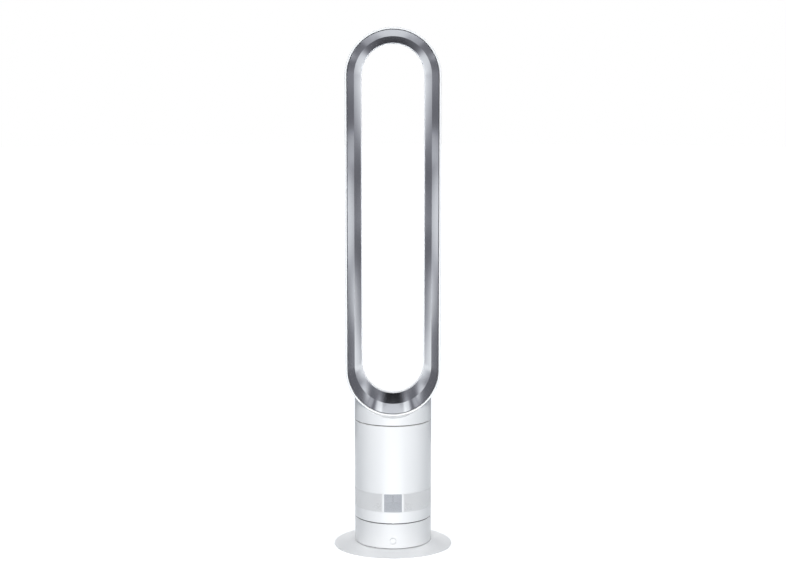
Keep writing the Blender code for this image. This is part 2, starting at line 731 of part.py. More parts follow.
def make_control_board():
    low = (BOARD_X - BOARD_LENGTH / 2, -BOARD_WIDTH / 2, BOARD_Z)
    high = (BOARD_X + BOARD_LENGTH / 2, BOARD_WIDTH / 2, BOARD_Z + BOARD_THICKNESS)
    board = block("control_board", low, high, BOARD, base_frame)
    seat_z = BOARD_Z + BOARD_THICKNESS / 2
    edge = BOARD_X - BOARD_LENGTH / 2
    lead_z = seat_z + SOCKET_TALL + TOUCH
    pieces = (
        ("lead_socket", SOCKET_OUT, 0, SOCKET_LONG, SOCKET_LONG, SOCKET_TALL),
        ("relay", RELAY_OUT, RELAY_SIDE, RELAY_LONG, RELAY_LONG, RELAY_TALL),
        ("driver_chip", RELAY_OUT, 0, SOCKET_LONG, SOCKET_LONG, CHIP_TALL),
    )
    for name, out, side, long, wide, tall in pieces:
        low = (edge + out - long / 2, side - wide / 2, seat_z)
        high = (edge + out + long / 2, side + wide / 2, seat_z + tall)
        join(board, block(name, low, high))
    join(board, rod("capacitor", CAPACITOR_RADIUS, RELAY_TALL, (edge + RELAY_OUT, -RELAY_SIDE, seat_z)))
    start_x = BOARD_X - BOARD_LENGTH / 2 + SOCKET_OUT
    lead("board_lead", [
        (start_x, 0, lead_z + LEAD_RADIUS),
        (start_x * 0.68, 0, lead_z + LEAD_RADIUS * 3),
        (start_x * 0.23, 0, lead_z + LEAD_RADIUS * 4.3),
        (start_x * 0.02, 0, lead_z + LEAD_RADIUS * 7),
        (0, 0, WELL_FLOOR_Z),
        (0, 0, LEAD_JOIN_Z - TOUCH),
    ], base_frame)


def make_switch():
    half = SWITCH_BOARD_WIDTH / 2
    block(
        "switch_board",
        (-half, SWITCH_BOARD_Y, CHASSIS_TOP_Z + TOUCH),
        (half, SWITCH_BOARD_Y + BOARD_THICKNESS, BRACKET_TOP_Z),
        BOARD,
        base_frame,
    )
    half = SWITCH_SIZE / 2
    switch = block(
        "power_switch",
        (-half, SWITCH_FRONT_Y, BUTTON_Z - half),
        (half, SWITCH_FRONT_Y + SWITCH_DEPTH, BUTTON_Z + half),
        DARK,
        base_frame,
    )
    well_depth = SWITCH_DEPTH / 2 + TOUCH
    cut(switch, rod("plunger_well", PLUNGER_RADIUS + TOUCH, well_depth + RUNNING,
                    (0, SWITCH_FRONT_Y - RUNNING, BUTTON_Z), (0, 1, 0)))
    block(
        "infrared_receiver",
        (-RECEIVER_WIDTH / 2, SWITCH_BOARD_Y - TOUCH - RECEIVER_DEPTH, RECEIVER_LOW_Z),
        (RECEIVER_WIDTH / 2, SWITCH_BOARD_Y - TOUCH, RECEIVER_LOW_Z + RECEIVER_WIDTH),
        DARK,
        base_frame,
    )


def make_power_button():
    flange_back = BUTTON_FLANGE_Y + BUTTON_FLANGE_THICKNESS
    depth = flange_back - BUTTON_FACE_Y
    flange_rise = depth - BUTTON_FLANGE_THICKNESS
    turned(
        "power_button",
        [
            (0, 0),
            (BUTTON_RADIUS - 2 * BUTTON_EDGE, 0),
            (BUTTON_RADIUS, BUTTON_EDGE),
            (BUTTON_RADIUS, flange_rise),
            (BUTTON_FLANGE_RADIUS, flange_rise),
            (BUTTON_FLANGE_RADIUS, depth),
            (0, depth),
        ],
        WHITE,
        button_axis,
        SMALL_SIDES,
        (0, BUTTON_FACE_Y, 0),
        (0, 1, 0),
    )
    rod("switch_plunger", PLUNGER_RADIUS, PLUNGER_LENGTH, (0, PLUNGER_Y, 0), (0, 1, 0), NATURAL, button_axis)


def make_cord_gland():
    inner_face = flat_inside(BODY_INNER, GLAND_FLANGE)
    outer_face = BODY_RADIUS + TOUCH
    turned(
        "cord_gland",
        [
            (GLAND_BORE, inner_face - GLAND_FLANGE_THICKNESS),
            (GLAND_FLANGE - GLAND_CHAMFER, inner_face - GLAND_FLANGE_THICKNESS),
            (GLAND_FLANGE, inner_face),
            (GLAND_NECK, inner_face),
            (GLAND_NECK, outer_face),
            (GLAND_FLANGE, outer_face),
            (GLAND_FLANGE - GLAND_CHAMFER, outer_face + GLAND_FLANGE_THICKNESS),
            (GLAND_NECK, outer_face + GLAND_FLANGE_THICKNESS),
            (GLAND_NECK - GLAND_TAPER, outer_face + GLAND_FLANGE_THICKNESS + GLAND_BOOT),
            (GLAND_BORE, outer_face + GLAND_FLANGE_THICKNESS + GLAND_BOOT),
        ],
        RUBBER,
        base_frame,
        SMALL_SIDES,
        (0, 0, GLAND_Z),
        (0, 1, 0),
    )


# ---------------------------------------------------------------- swivel drive
def involute(angle):
    return math.tan(angle) - angle


def tooth_points(teeth, centre):
    """Outline of one tooth, root to root, about a centre angle in degrees."""
    pitch = GEAR_MODULE * teeth / 2
    pressure_angle = math.radians(PRESSURE_ANGLE)
    base = pitch * math.cos(pressure_angle)
    root = pitch - GEAR_DEDENDUM * GEAR_MODULE
    half_tooth = math.pi / (2 * teeth) - GEAR_BACKLASH / (2 * pitch) + involute(pressure_angle)
    radii = (root, max(base, root), pitch, pitch + GEAR_ADDENDUM * GEAR_MODULE)
    flank = []
    for radius in radii:
        pressure = math.acos(min(1, base / radius))
        flank.append((radius, math.degrees(half_tooth - involute(pressure))))
    rising = [polar(radius, centre - half) for radius, half in flank]
    falling = [polar(radius, centre + half) for radius, half in reversed(flank)]
    return rising + falling


def make_drive():
    pinion = []
    for tooth in range(PINION_TEETH):
        pinion += tooth_points(PINION_TEETH, (tooth + 0.5) * 360 / PINION_TEETH)
    bore = arc(PINION_SHAFT_RADIUS + TOUCH, 0, 360, PIN_SIDES)[:-1]
    high = GEAR_LOW_Z + GEAR_HEIGHT
    extruded("oscillation_pinion", pinion, GEAR_LOW_Z, high, NATURAL, pinion_axis, [bore])
    shaft_low = DRIVE_MOTOR_TOP_Z - DRIVE_MOTOR_HEIGHT / 4
    rod("pinion_shaft", PINION_SHAFT_RADIUS, high - shaft_low, (0, 0, shaft_low), paint=STEEL,
        parent=pinion_axis)

    pitch_angle = 360 / GEAR_TEETH
    first = 180 - pitch_angle * (SECTOR_TEETH - 1) / 2
    gear = []
    for tooth in range(SECTOR_TEETH):
        gear += tooth_points(GEAR_TEETH, first + tooth * pitch_angle)
    span = pitch_angle * SECTOR_TEETH / 2
    gear += arc(HUB_RADIUS + TOUCH, 180 + span, 180 - span, 2 * SMALL_SIDES // 3)
    sector_gear = extruded("gear_sector", gear, GEAR_LOW_Z, high, NATURAL, swivel_axis)
    for number, angle in enumerate(GEAR_SCREW_ANGLES, 1):
        x, y = polar(GEAR_SCREW_CIRCLE, angle)
        cut(sector_gear, rod(f"gear_hole_{number}", SMALL_SCREW_RADIUS + TOUCH, GEAR_HEIGHT * 2,
                             (x, y, GEAR_LOW_Z - GEAR_HEIGHT / 2)))
        length = GEAR_HEIGHT + 2 * TOUCH + TURNTABLE_PLATE * 0.6
        screw(f"gear_screw_{number}", SMALL_SCREW_RADIUS, SMALL_HEAD_RADIUS, SMALL_HEAD, length, swivel_axis,
              (x, y, GEAR_LOW_Z - TOUCH - SMALL_HEAD))

    motor_low = DRIVE_MOTOR_TOP_Z - DRIVE_MOTOR_HEIGHT
    motor = turned(
        "oscillation_motor", drum(DRIVE_MOTOR_RADIUS, motor_low, DRIVE_MOTOR_TOP_Z), STEEL, base_frame,
        SMALL_SIDES,
        (PINION_X, 0, 0),
    )
    ear = DRIVE_EAR_REACH + DRIVE_EAR_WIDTH / 2
    join(motor, block(
        "drive_ears",
        (-DRIVE_EAR_WIDTH / 2, -ear, DRIVE_MOTOR_TOP_Z - DRIVE_EAR_THICKNESS),
        (DRIVE_EAR_WIDTH / 2, ear, DRIVE_MOTOR_TOP_Z),
        location=(PINION_X, 0, 0),
    ))
    cut(motor, rod("drive_bore", PINION_SHAFT_RADIUS + TOUCH, DRIVE_MOTOR_HEIGHT,
                   (PINION_X, 0, shaft_low - TOUCH)))
    for number, side in enumerate((-1, 1), 1):
        y = side * DRIVE_EAR_REACH
        cut(motor, rod(f"ear_hole_{number}", SCREW_RADIUS + TOUCH, DRIVE_EAR_THICKNESS * 3,
                       (PINION_X, y, DRIVE_MOTOR_TOP_Z - 2 * DRIVE_EAR_THICKNESS)))
        length = DRIVE_EAR_THICKNESS + 2 * TOUCH + DECK_THICKNESS
        screw(f"drive_screw_{number}", SCREW_RADIUS, SCREW_HEAD_RADIUS, SCREW_HEAD, length, base_frame,
              (PINION_X, y, DRIVE_MOTOR_TOP_Z - DRIVE_EAR_THICKNESS - TOUCH - SCREW_HEAD))


def make_pivot():
    flange_low = WELL_FLOOR_Z + TOUCH
    groove_top = PLATE_TOP_Z + TOUCH + CLIP_THICKNESS + TOUCH
    turned(
        "pivot_tube",
        [
            (PIVOT_BORE, flange_low),
            (PIVOT_FLANGE_RADIUS, flange_low),
            (PIVOT_FLANGE_RADIUS, flange_low + PIVOT_FLANGE),
            (PIVOT_RADIUS, flange_low + PIVOT_FLANGE),
            (PIVOT_RADIUS, PLATE_TOP_Z),
            (PIVOT_GROOVE_RADIUS, PLATE_TOP_Z),
            (PIVOT_GROOVE_RADIUS, groove_top),
            (PIVOT_RADIUS, groove_top),
            (PIVOT_RADIUS, groove_top + PIVOT_TOP_EXTRA),
            (PIVOT_BORE, groove_top + PIVOT_TOP_EXTRA),
        ],
        STEEL,
        base_frame,
        SMALL_SIDES,
    )
    mouth = CLIP_MOUTH / 2
    clip = sector(PIVOT_GROOVE_RADIUS + TOUCH, CLIP_RADIUS, mouth, 360 - mouth, 360 / SMALL_SIDES)
    clip_low = PLATE_TOP_Z + TOUCH
    extruded("retaining_clip", clip, clip_low, clip_low + CLIP_THICKNESS, STEEL, base_frame)


def make_turntable():
    hub_low = WELL_FLOOR_Z + TOUCH + PIVOT_FLANGE + TOUCH
    hub_bore = PIVOT_RADIUS + TOUCH
    wall_inner = TURNTABLE_RADIUS - TURNTABLE_WALL
    table = turned(
        "turntable",
        [
            (hub_bore, hub_low),
            (hub_bore, PLATE_TOP_Z),
            (wall_inner, PLATE_TOP_Z),
            (wall_inner, TURNTABLE_TOP_Z),
            (TURNTABLE_RADIUS, TURNTABLE_TOP_Z),
            (TURNTABLE_RADIUS, TURNTABLE_Z),
            (HUB_RADIUS, TURNTABLE_Z),
            (HUB_RADIUS, hub_low),
        ],
        DARK,
        swivel_axis,
    )
    for number, angle in enumerate(GEAR_SCREW_ANGLES, 1):
        x, y = polar(GEAR_SCREW_CIRCLE, angle)
        cut(table, rod(f"table_hole_{number}", SMALL_SCREW_RADIUS + TOUCH, TURNTABLE_PLATE * 1.7,
                       (x, y, TURNTABLE_Z - TURNTABLE_PLATE * 0.9)))
    screw_z = (PLATE_TOP_Z + TURNTABLE_TOP_Z) / 2 + TOUCH
    for number, angle in enumerate(CASING_SCREW_ANGLES, 1):
        outward = (*polar(1, angle), 0)
        start = Vector((0, 0, screw_z)) + Vector(outward) * wall_inner * 0.9
        cut(table, rod(f"table_side_hole_{number}", SMALL_SCREW_RADIUS + TOUCH, TURNTABLE_RADIUS * 0.2,
                       start, outward))
        head_at = flat_inside(wall_inner, SMALL_HEAD_RADIUS) - SMALL_HEAD
        screw(f"casing_screw_{number}", SMALL_SCREW_RADIUS, SMALL_HEAD_RADIUS, SMALL_HEAD, CASING_SCREW_LENGTH,
              swivel_axis, Vector((0, 0, screw_z)) + Vector(outward) * head_at, outward)
    return screw_z


# ---------------------------------------------------------------- body casing
def make_casing(screw_z):
    foot_inner = BODY_RADIUS - CASING_FOOT_WALL
    ledge_low = TURNTABLE_TOP_Z + TOUCH
    rib_low = INTAKE_LOW_Z - INTAKE_WALL
    rib_high = INTAKE_HIGH_Z + INTAKE_WALL
    socket_ledge_low = SOCKET_LEDGE_Z - CASING_FOOT_WALL
    ledge_inner = CASING_INNER - CASING_FOOT_WALL
    casing = turned(
        "body_casing",
        [
            (BODY_RADIUS, CASING_TOP_Z),
            (BODY_RADIUS, INTAKE_HIGH_Z + TOUCH),
            (RECESS_INNER, INTAKE_HIGH_Z + TOUCH),
            (RECESS_INNER, INTAKE_LOW_Z - TOUCH),
            (BODY_RADIUS, INTAKE_LOW_Z - TOUCH),
            (BODY_RADIUS, CASING_LOW_Z),
            (foot_inner, CASING_LOW_Z),
            (foot_inner, ledge_low),
            (foot_inner - LEDGE_WIDTH, ledge_low),
            (foot_inner - LEDGE_WIDTH, ledge_low + LEDGE_HEIGHT),
            (CASING_INNER, ledge_low + LEDGE_HEIGHT),
            (CASING_INNER, rib_low - INTAKE_WALL),
            (INTAKE_INNER, rib_low),
            (INTAKE_INNER, rib_high),
            (CASING_INNER, rib_high + INTAKE_WALL),
            (CASING_INNER, socket_ledge_low),
            (ledge_inner, SOCKET_LEDGE_Z - LEDGE_HEIGHT / 4),
            (ledge_inner, SOCKET_LEDGE_Z),
            (CASING_INNER, SOCKET_LEDGE_Z),
            (CASING_INNER, CASING_TOP_Z),
        ],
        WHITE,
        swivel_axis,
    )
    pillars = [FRONT_PANEL_ANGLE + PILLAR_SPACING * step for step in range(PILLARS_A_SIDE)]
    pillars += [360 - angle for angle in reversed(pillars)]
    for number, (left, right) in enumerate(zip(pillars, pillars[1:] + [pillars[0] + 360]), 1):
        first = 270 + left + PILLAR_ANGLE / 2
        last = 270 + right - PILLAR_ANGLE / 2
        window = sector(INTAKE_INNER - CUTTER_MARGIN, BODY_RADIUS + CUTTER_MARGIN, first, last)
        window_low = INTAKE_LOW_Z + WINDOW_MARGIN
        cut(casing, extruded(f"window_{number}", window, window_low, INTAKE_HIGH_Z - WINDOW_MARGIN))
    for number, angle in enumerate(CASING_SCREW_ANGLES, 1):
        outward = (*polar(1, angle), 0)
        depth = CASING_FOOT_WALL * 0.7
        start = Vector((0, 0, screw_z)) + Vector(outward) * (foot_inner + depth)
        inward = (-outward[0], -outward[1], 0)
        length = CASING_FOOT_WALL * 1.2
        cut(casing, rod(f"casing_hole_{number}", SMALL_SCREW_RADIUS + TOUCH, length, start, inward))
    for number, angle in enumerate(SUSPENSION_ANGLES, 1):
        bracket = sector(DIFFUSER_RADIUS + RUNNING, CASING_INNER + CASING_WALL / 2,
                         angle - SUSPENSION_SPREAD, angle + SUSPENSION_SPREAD)
        join(casing, extruded(f"bracket_{number}", bracket, BRACKET_Z, BRACKET_TOP))


def make_grille():
    inner = BODY_RADIUS - GRILLE_THICKNESS
    grille = turned("intake_grille", tube(inner, BODY_RADIUS, INTAKE_LOW_Z, INTAKE_HIGH_Z), GREY, swivel_axis)
    slots = bpy.data.meshes.new("grille_slots")
    shape = bmesh.new()
    height = INTAKE_HIGH_Z - INTAKE_LOW_Z - 2 * SLOT_MARGIN
    middle = (INTAKE_HIGH_Z + INTAKE_LOW_Z) / 2
    for step in range(round(360 / SLOT_PITCH)):
        turn = Matrix.Rotation(math.radians(270 + step * SLOT_PITCH), 4, "Z")
        at = Matrix.Translation((BODY_RADIUS, 0, middle))
        size = Matrix.Diagonal((GRILLE_THICKNESS * 4, SLOT_WIDTH, height, 1))
        bmesh.ops.create_cube(shape, size=1, matrix=turn @ at @ size)
    shape.to_mesh(slots)
    shape.free()
    cut(grille, place("grille_slots", slots, None))


# ---------------------------------------------------------------- air path
def blade_set(name, count, low, high, inner_radii, outer_radii, sweep, thickness):
    """Curved sheets between two radii, each turned as it rises; radii are (at low, at high)."""
    blades = []
    for number in range(count):
        turn = 360 * number / count
        mesh = bpy.data.meshes.new(name)
        shape = bmesh.new()
        bmesh.ops.create_grid(shape, x_segments=2, y_segments=3, size=0.5)
        for vert in shape.verts:
            across = vert.co.x + 0.5
            rise = vert.co.y + 0.5
            inner = inner_radii[0] + (inner_radii[1] - inner_radii[0]) * rise
            outer = outer_radii[0] + (outer_radii[1] - outer_radii[0]) * rise
            x, y = polar(inner + (outer - inner) * across, turn + sweep * rise)
            vert.co = (x, y, low + (high - low) * rise)
        shape.to_mesh(mesh)
        shape.free()
        sheet = bpy.data.objects.new(name, mesh)
        CUTTERS.objects.link(sheet)
        thicken = sheet.modifiers.new("thickness", "SOLIDIFY")
        thicken.thickness = thickness
        thicken.offset = 0
        blades.append(place(f"{name}_{number + 1}", evaluated_mesh(sheet), None))
    return blades


def make_inlet():
    inner = []
    for step in range(CURL_STEPS + 1):
        turn = math.pi / 2 * step / CURL_STEPS
        height = INLET_Z + INLET_THROAT_RISE * (1 - math.cos(turn))
        inner.append((INLET_LIP - INLET_NARROWING * math.sin(turn), height))
    inner += [
        (HOUSING_OUTLET, HOUSING_TOP_Z - DUCT_WALL),
        (HOUSING_OUTLET, HOUSING_TOP_Z),
    ]
    outer = [(radius + DUCT_WALL, height) for radius, height in reversed(inner)]
    turned("impeller_housing", inner + outer, DARK, swivel_axis, sides=ROUND_SIDES)
    seal_inner = INLET_LIP + DUCT_WALL + TOUCH
    seal = turned(
        "inlet_seal",
        tube(seal_inner, CASING_INNER - TOUCH, INLET_Z, INLET_Z + INLET_SEAL_HEIGHT),
        RUBBER,
        swivel_axis,
    )
    cut(seal, rod("seal_notch", LEAD_RADIUS + TOUCH, INLET_SEAL_HEIGHT * 3,
                  (0, LEAD_RISER, INLET_Z - INLET_SEAL_HEIGHT)))


def make_impeller():
    shaft_bore = MOTOR_SHAFT_RADIUS + TOUCH
    impeller = turned(
        "impeller",
        [
            (shaft_bore, HUB_LOW_Z - HUB_RIM),
            (HUB_NOSE_RADIUS, HUB_LOW_Z - HUB_RIM),
            (HUB_LOW_RADIUS, HUB_LOW_Z),
            (HUB_HIGH_RADIUS, HUB_HIGH_Z),
            (HUB_HIGH_RADIUS, HUB_HIGH_Z + HUB_RIM),
            (shaft_bore, HUB_HIGH_Z + HUB_RIM),
        ],
        DARK,
        impeller_axis,
        sides=SMALL_SIDES,
    )
    throat_z = INLET_Z + INLET_THROAT_RISE
    flare = (HOUSING_OUTLET - INLET_THROAT) / (HOUSING_TOP_Z - DUCT_WALL - throat_z)
    low = HUB_LOW_Z + HUB_RIM
    high = HUB_HIGH_Z - HUB_RIM / 2
    tips = [INLET_THROAT + flare * (height - throat_z) - BLADE_TIP_GAP for height in (low, high)]
    slope = (HUB_HIGH_RADIUS - HUB_LOW_RADIUS) / (HUB_HIGH_Z - HUB_LOW_Z)
    roots = [HUB_LOW_RADIUS + slope * (height - HUB_LOW_Z) - BLADE_THICKNESS for height in (low, high)]
    join(impeller, *blade_set("blade", BLADE_COUNT, low, high, roots, tips, BLADE_SWEEP, BLADE_THICKNESS))
    nut_low = HUB_LOW_Z - HUB_RIM - TOUCH - NUT_HEIGHT
    shaft_low = nut_low + NUT_CAP
    nut = rod("impeller_nut", NUT_RADIUS, NUT_HEIGHT, (0, 0, nut_low), paint=STEEL, parent=impeller_axis,
              sides=6)
    cut(nut, rod("nut_bore", shaft_bore, NUT_HEIGHT, (0, 0, shaft_low - TOUCH)))
    shaft_high = MOTOR_LOW_Z + MOTOR_HEIGHT / 2
    rod("motor_shaft", MOTOR_SHAFT_RADIUS, shaft_high - shaft_low, (0, 0, shaft_low), paint=STEEL,
        parent=impeller_axis)


def make_diffuser():
    ring = turned(
        "diffuser",
        tube(HOUSING_FLANGE, DIFFUSER_RADIUS, HOUSING_TOP_Z + TOUCH, DIFFUSER_TOP_Z),
        DARK,
        swivel_axis,
    )
    cup_inner = MOTOR_RADIUS + TOUCH
    cup = turned(
        "motor_cup",
        [
            (MOTOR_SHAFT_RADIUS + RUNNING, CUP_FLOOR_Z),
            (MOTOR_SHAFT_RADIUS + RUNNING, CUP_FLOOR_Z + CUP_WALL),
            (cup_inner, CUP_FLOOR_Z + CUP_WALL),
            (cup_inner, CUP_TOP_Z),
            (CUP_RADIUS, CUP_TOP_Z),
            (CUP_RADIUS, CUP_FLOOR_Z),
        ],
        None,
        sides=SMALL_SIDES,
    )
    vane_inner = CUP_RADIUS - CUP_WALL / 2
    vane_outer = HOUSING_FLANGE + DUCT_WALL / 2
    vanes = blade_set("vane", VANE_COUNT, VANE_LOW_Z, VANE_HIGH_Z, (vane_inner, vane_inner),
                      (vane_outer, vane_outer), VANE_SWEEP, VANE_THICKNESS)
    join(ring, vanes[0], cup, *vanes[1:])
    for number, angle in enumerate(SUSPENSION_ANGLES, 1):
        ear = sector(DIFFUSER_RADIUS - DUCT_WALL / 2, CASING_INNER - 2 * TOUCH,
                     angle - SUSPENSION_SPREAD, angle + SUSPENSION_SPREAD)
        join(ring, extruded(f"ear_{number}", ear, EAR_LOW_Z, EAR_LOW_Z + EAR_HEIGHT))
        x, y = polar(SUSPENSION_CIRCLE, angle)
        rod(f"suspension_mount_{number}", MOUNT_RADIUS, MOUNT_HEIGHT, (x, y, MOUNT_LOW_Z), paint=RUBBER,
            parent=swivel_axis)
    cut(ring, rod("lead_entry", LEAD_ENTRY_RADIUS, DIFFUSER_RADIUS, (0, MOTOR_RADIUS * 0.5, LEAD_ENTRY_Z),
                  (0, 1, 0)))


def make_motor():
    stator = drum(MOTOR_RADIUS, MOTOR_LOW_Z, MOTOR_LOW_Z + MOTOR_HEIGHT)
    motor = turned("fan_motor", stator, STEEL, swivel_axis, sides=SMALL_SIDES)
    cut(motor, rod("rotor_bore", MOTOR_SHAFT_RADIUS + TOUCH, MOTOR_HEIGHT,
                   (0, 0, MOTOR_LOW_Z - MOTOR_HEIGHT / 2 + TOUCH)))
    board_low = MOTOR_LOW_Z + MOTOR_HEIGHT + TOUCH
    turned("motor_driver_board", drum(MOTOR_RADIUS - TOUCH, board_low, board_low + BOARD_THICKNESS), BOARD,
           swivel_axis, sides=SMALL_SIDES)
    nose_low = CUP_TOP_Z + TOUCH
    outside = []
    inside = []
    for step in range(CONE_STEPS):
        turn = math.pi / 2 * step / CONE_STEPS
        outside.append((CUP_RADIUS * math.cos(turn), nose_low + NOSE_HEIGHT * math.sin(turn)))
        rise = (NOSE_HEIGHT - NOSE_WALL) * math.sin(turn)
        inside.append(((CUP_RADIUS - NOSE_WALL) * math.cos(turn), nose_low + rise))
    crown = [(0, nose_low + NOSE_HEIGHT), (0, nose_low + NOSE_HEIGHT - NOSE_WALL)]
    turned("nose_cone", outside + crown + inside[::-1], DARK, swivel_axis, sides=SMALL_SIDES)
    turned(
        "outlet_gaiter",
        [
            (HOUSING_FLANGE, GAITER_LOW_Z),
            (HOUSING_FLANGE + GAITER_WALL, GAITER_LOW_Z),
            (SOCKET_BORE + GAITER_WALL + DUCT_WALL, SOCKET_LEDGE_Z),
            (SOCKET_BORE + DUCT_WALL, SOCKET_LEDGE_Z),
        ],
        RUBBER,
        swivel_axis,
    )
    chamber = INLET_Z - PLATE_TOP_Z
    bend = LEAD_RISER - DIFFUSER_RADIUS + DUCT_WALL
    lead("motor_lead", [
        (0, 0, LEAD_JOIN_Z),
        (0, 0, PLATE_TOP_Z),
        (0, LEAD_RISER * 0.08, PLATE_TOP_Z + chamber * 0.2),
        (0, LEAD_RISER * 0.58, PLATE_TOP_Z + chamber * 0.32),
        (0, LEAD_RISER * 0.92, PLATE_TOP_Z + chamber * 0.46),
        (0, LEAD_RISER, PLATE_TOP_Z + chamber * 0.7),
        (0, LEAD_RISER, INLET_Z),
        (0, LEAD_RISER, (INLET_Z + LEAD_ENTRY_Z) / 2),
        (0, LEAD_RISER, LEAD_ENTRY_Z - bend * 2.2),
        (0, LEAD_RISER - bend * 0.18, LEAD_ENTRY_Z - bend * 1.1),
        (0, LEAD_RISER - bend * 0.8, LEAD_ENTRY_Z - bend * 0.27),
        (0, LEAD_RISER - bend * 2.4, LEAD_ENTRY_Z),
        (0, CUP_RADIUS + bend, LEAD_ENTRY_Z),
        (0, MOTOR_RADIUS + TOUCH, LEAD_ENTRY_Z),
    ], swivel_axis)
    foam_radius = TURNTABLE_RADIUS - TURNTABLE_WALL - FOAM_CLEARANCE
    foam_low = PLATE_TOP_Z + TOUCH
    turned("acoustic_foam", tube(FOAM_BORE, foam_radius, foam_low, foam_low + FOAM_HEIGHT), FOAM, swivel_axis)


# ---------------------------------------------------------------- twist lock
def make_socket():
    socket = turned(
        "bayonet_socket",
        [
            (SOCKET_BORE, SOCKET_LOW_Z),
            (SOCKET_BORE, SOCKET_FLOOR_Z),
            (SOCKET_INNER, SOCKET_FLOOR_Z),
            (SOCKET_INNER, SOCKET_TOP_Z),
            (SOCKET_RADIUS, SOCKET_TOP_Z),
            (SOCKET_RADIUS, SOCKET_LOW_Z),
        ],
        NATURAL,
        swivel_axis,
    )
    rooted = SOCKET_INNER + SOCKET_WALL / 2
    for number in range(LOCK_COUNT):
        start = LOCK_START + 360 * number / LOCK_COUNT
        hook_end = start + HOOK_ANGLE - HOOK_OVERLAP
        hook = sector(rooted - HOOK_REACH, rooted, start - HOOK_OVERLAP - STOP_ANGLE, hook_end)
        stop = sector(rooted - HOOK_REACH, rooted, start - HOOK_OVERLAP - STOP_ANGLE, start - HOOK_OVERLAP)
        join(
            socket,
            extruded(f"stop_{number}", stop, SOCKET_FLOOR_Z - SOCKET_FLOOR / 2, HOOK_Z + HOOK_HEIGHT / 2),
            extruded(f"hook_{number}", hook, HOOK_Z, HOOK_Z + HOOK_HEIGHT),
        )


def make_bayonet_ring():
    skirt_inner = SKIRT_RADIUS - SKIRT_WALL
    ring = turned(
        "bayonet_ring",
        [
            (RING_BORE, RING_LOW_Z),
            (RING_BORE, RING_TOP_Z),
            (RING_RADIUS, RING_TOP_Z),
            (RING_RADIUS, RING_LOW_Z),
            (SKIRT_RADIUS, RING_LOW_Z),
            (SKIRT_RADIUS, SOCKET_FLOOR_Z + TOUCH),
            (skirt_inner, SOCKET_FLOOR_Z + TOUCH),
            (skirt_inner, RING_LOW_Z),
        ],
        NATURAL,
        loop_axis,
    )
    for number in range(LOCK_COUNT):
        start = LOCK_START + 360 * number / LOCK_COUNT
        lug = sector(SKIRT_RADIUS - SKIRT_WALL / 2, LUG_RADIUS, start, start + LUG_ANGLE)
        join(ring, extruded(f"lug_{number}", lug, LUG_Z, LUG_Z + LUG_HEIGHT))
    for number, angle in enumerate(RING_SCREW_ANGLES, 1):
        x, y = polar(RING_SCREW_CIRCLE, angle)
        sink = SMALL_HEAD + TOUCH
        cut(
            ring,
            rod(f"ring_sink_{number}", SMALL_HEAD_RADIUS + TOUCH, sink * 2, (x, y, RING_LOW_Z - sink)),
            rod(f"ring_hole_{number}", SMALL_SCREW_RADIUS + TOUCH, RING_FLANGE * 2, (x, y, RING_LOW_Z)),
        )
        screw(f"ring_screw_{number}", SMALL_SCREW_RADIUS, SMALL_HEAD_RADIUS, SMALL_HEAD, RING_SCREW_LENGTH,
              loop_axis, (x, y, RING_LOW_Z))
    seal_inner = SOCKET_INNER + TOUCH
    seal = tube(seal_inner, SOCKET_RADIUS - TOUCH, SOCKET_TOP_Z + TOUCH, RING_LOW_Z - TOUCH)
    turned("loop_seal", seal, RUBBER, loop_axis)


# ---------------------------------------------------------------- loop
def stadium(radius):
    """The loop's oval in (x, z): two half circles joined by straight sides."""
    low = [(x, z + LOOP_LOW_CENTRE) for x, z in arc(radius, 180, 360, ARC_STEPS)]
    high = [(x, z + LOOP_HIGH_CENTRE) for x, z in arc(radius, 0, 180, ARC_STEPS)]
    return low + high


def swept(name, section, paint, parent):
    """Sweep a closed (radius, depth) section round the loop's oval."""
    profile = bpy.data.curves.new(f"{name}_section", "CURVE")
    profile.dimensions = "2D"
    spline = profile.splines.new("POLY")
    spline.points.add(len(section) - 1)
    for target, (radius, depth) in zip(spline.points, section):
        target.co = (LOOP_RADIUS - radius, -depth, 0, 1)
    spline.use_cyclic_u = True
    guide = bpy.data.objects.new(f"{name}_section", profile)
    CUTTERS.objects.link(guide)
    oval = bpy.data.curves.new(name, "CURVE")
    oval.dimensions = "2D"
    oval.fill_mode = "NONE"
    oval.bevel_mode = "OBJECT"
    oval.bevel_object = guide
    path = oval.splines.new("POLY")
    points = stadium(LOOP_RADIUS)
    path.points.add(len(points) - 1)
    for target, (x, z) in zip(path.points, points):
        target.co = (x, z, 0, 1)
    path.use_cyclic_u = True
    made = bpy.data.objects.new(name, oval)
    made.rotation_euler.x = math.pi / 2
    CUTTERS.objects.link(made)
    mesh = evaluated_mesh(made)
    bpy.data.objects.remove(guide)
    return place(name, mesh, paint, parent)


def duct_cutter(name):
    """The air passage from the collar into the bottom of the loop."""
    top = LOOP_LOW_CENTRE - LOOP_RADIUS + (LOOP_RADIUS - math.sqrt(LOOP_RADIUS**2 - DUCT_HALF_WIDTH**2))
    low = (-DUCT_HALF_WIDTH, -DUCT_FRONT, LOOP_SEAM_Z)
    return block(name, low, (DUCT_HALF_WIDTH, DUCT_REAR, top + 3 * LOOP_WALL))


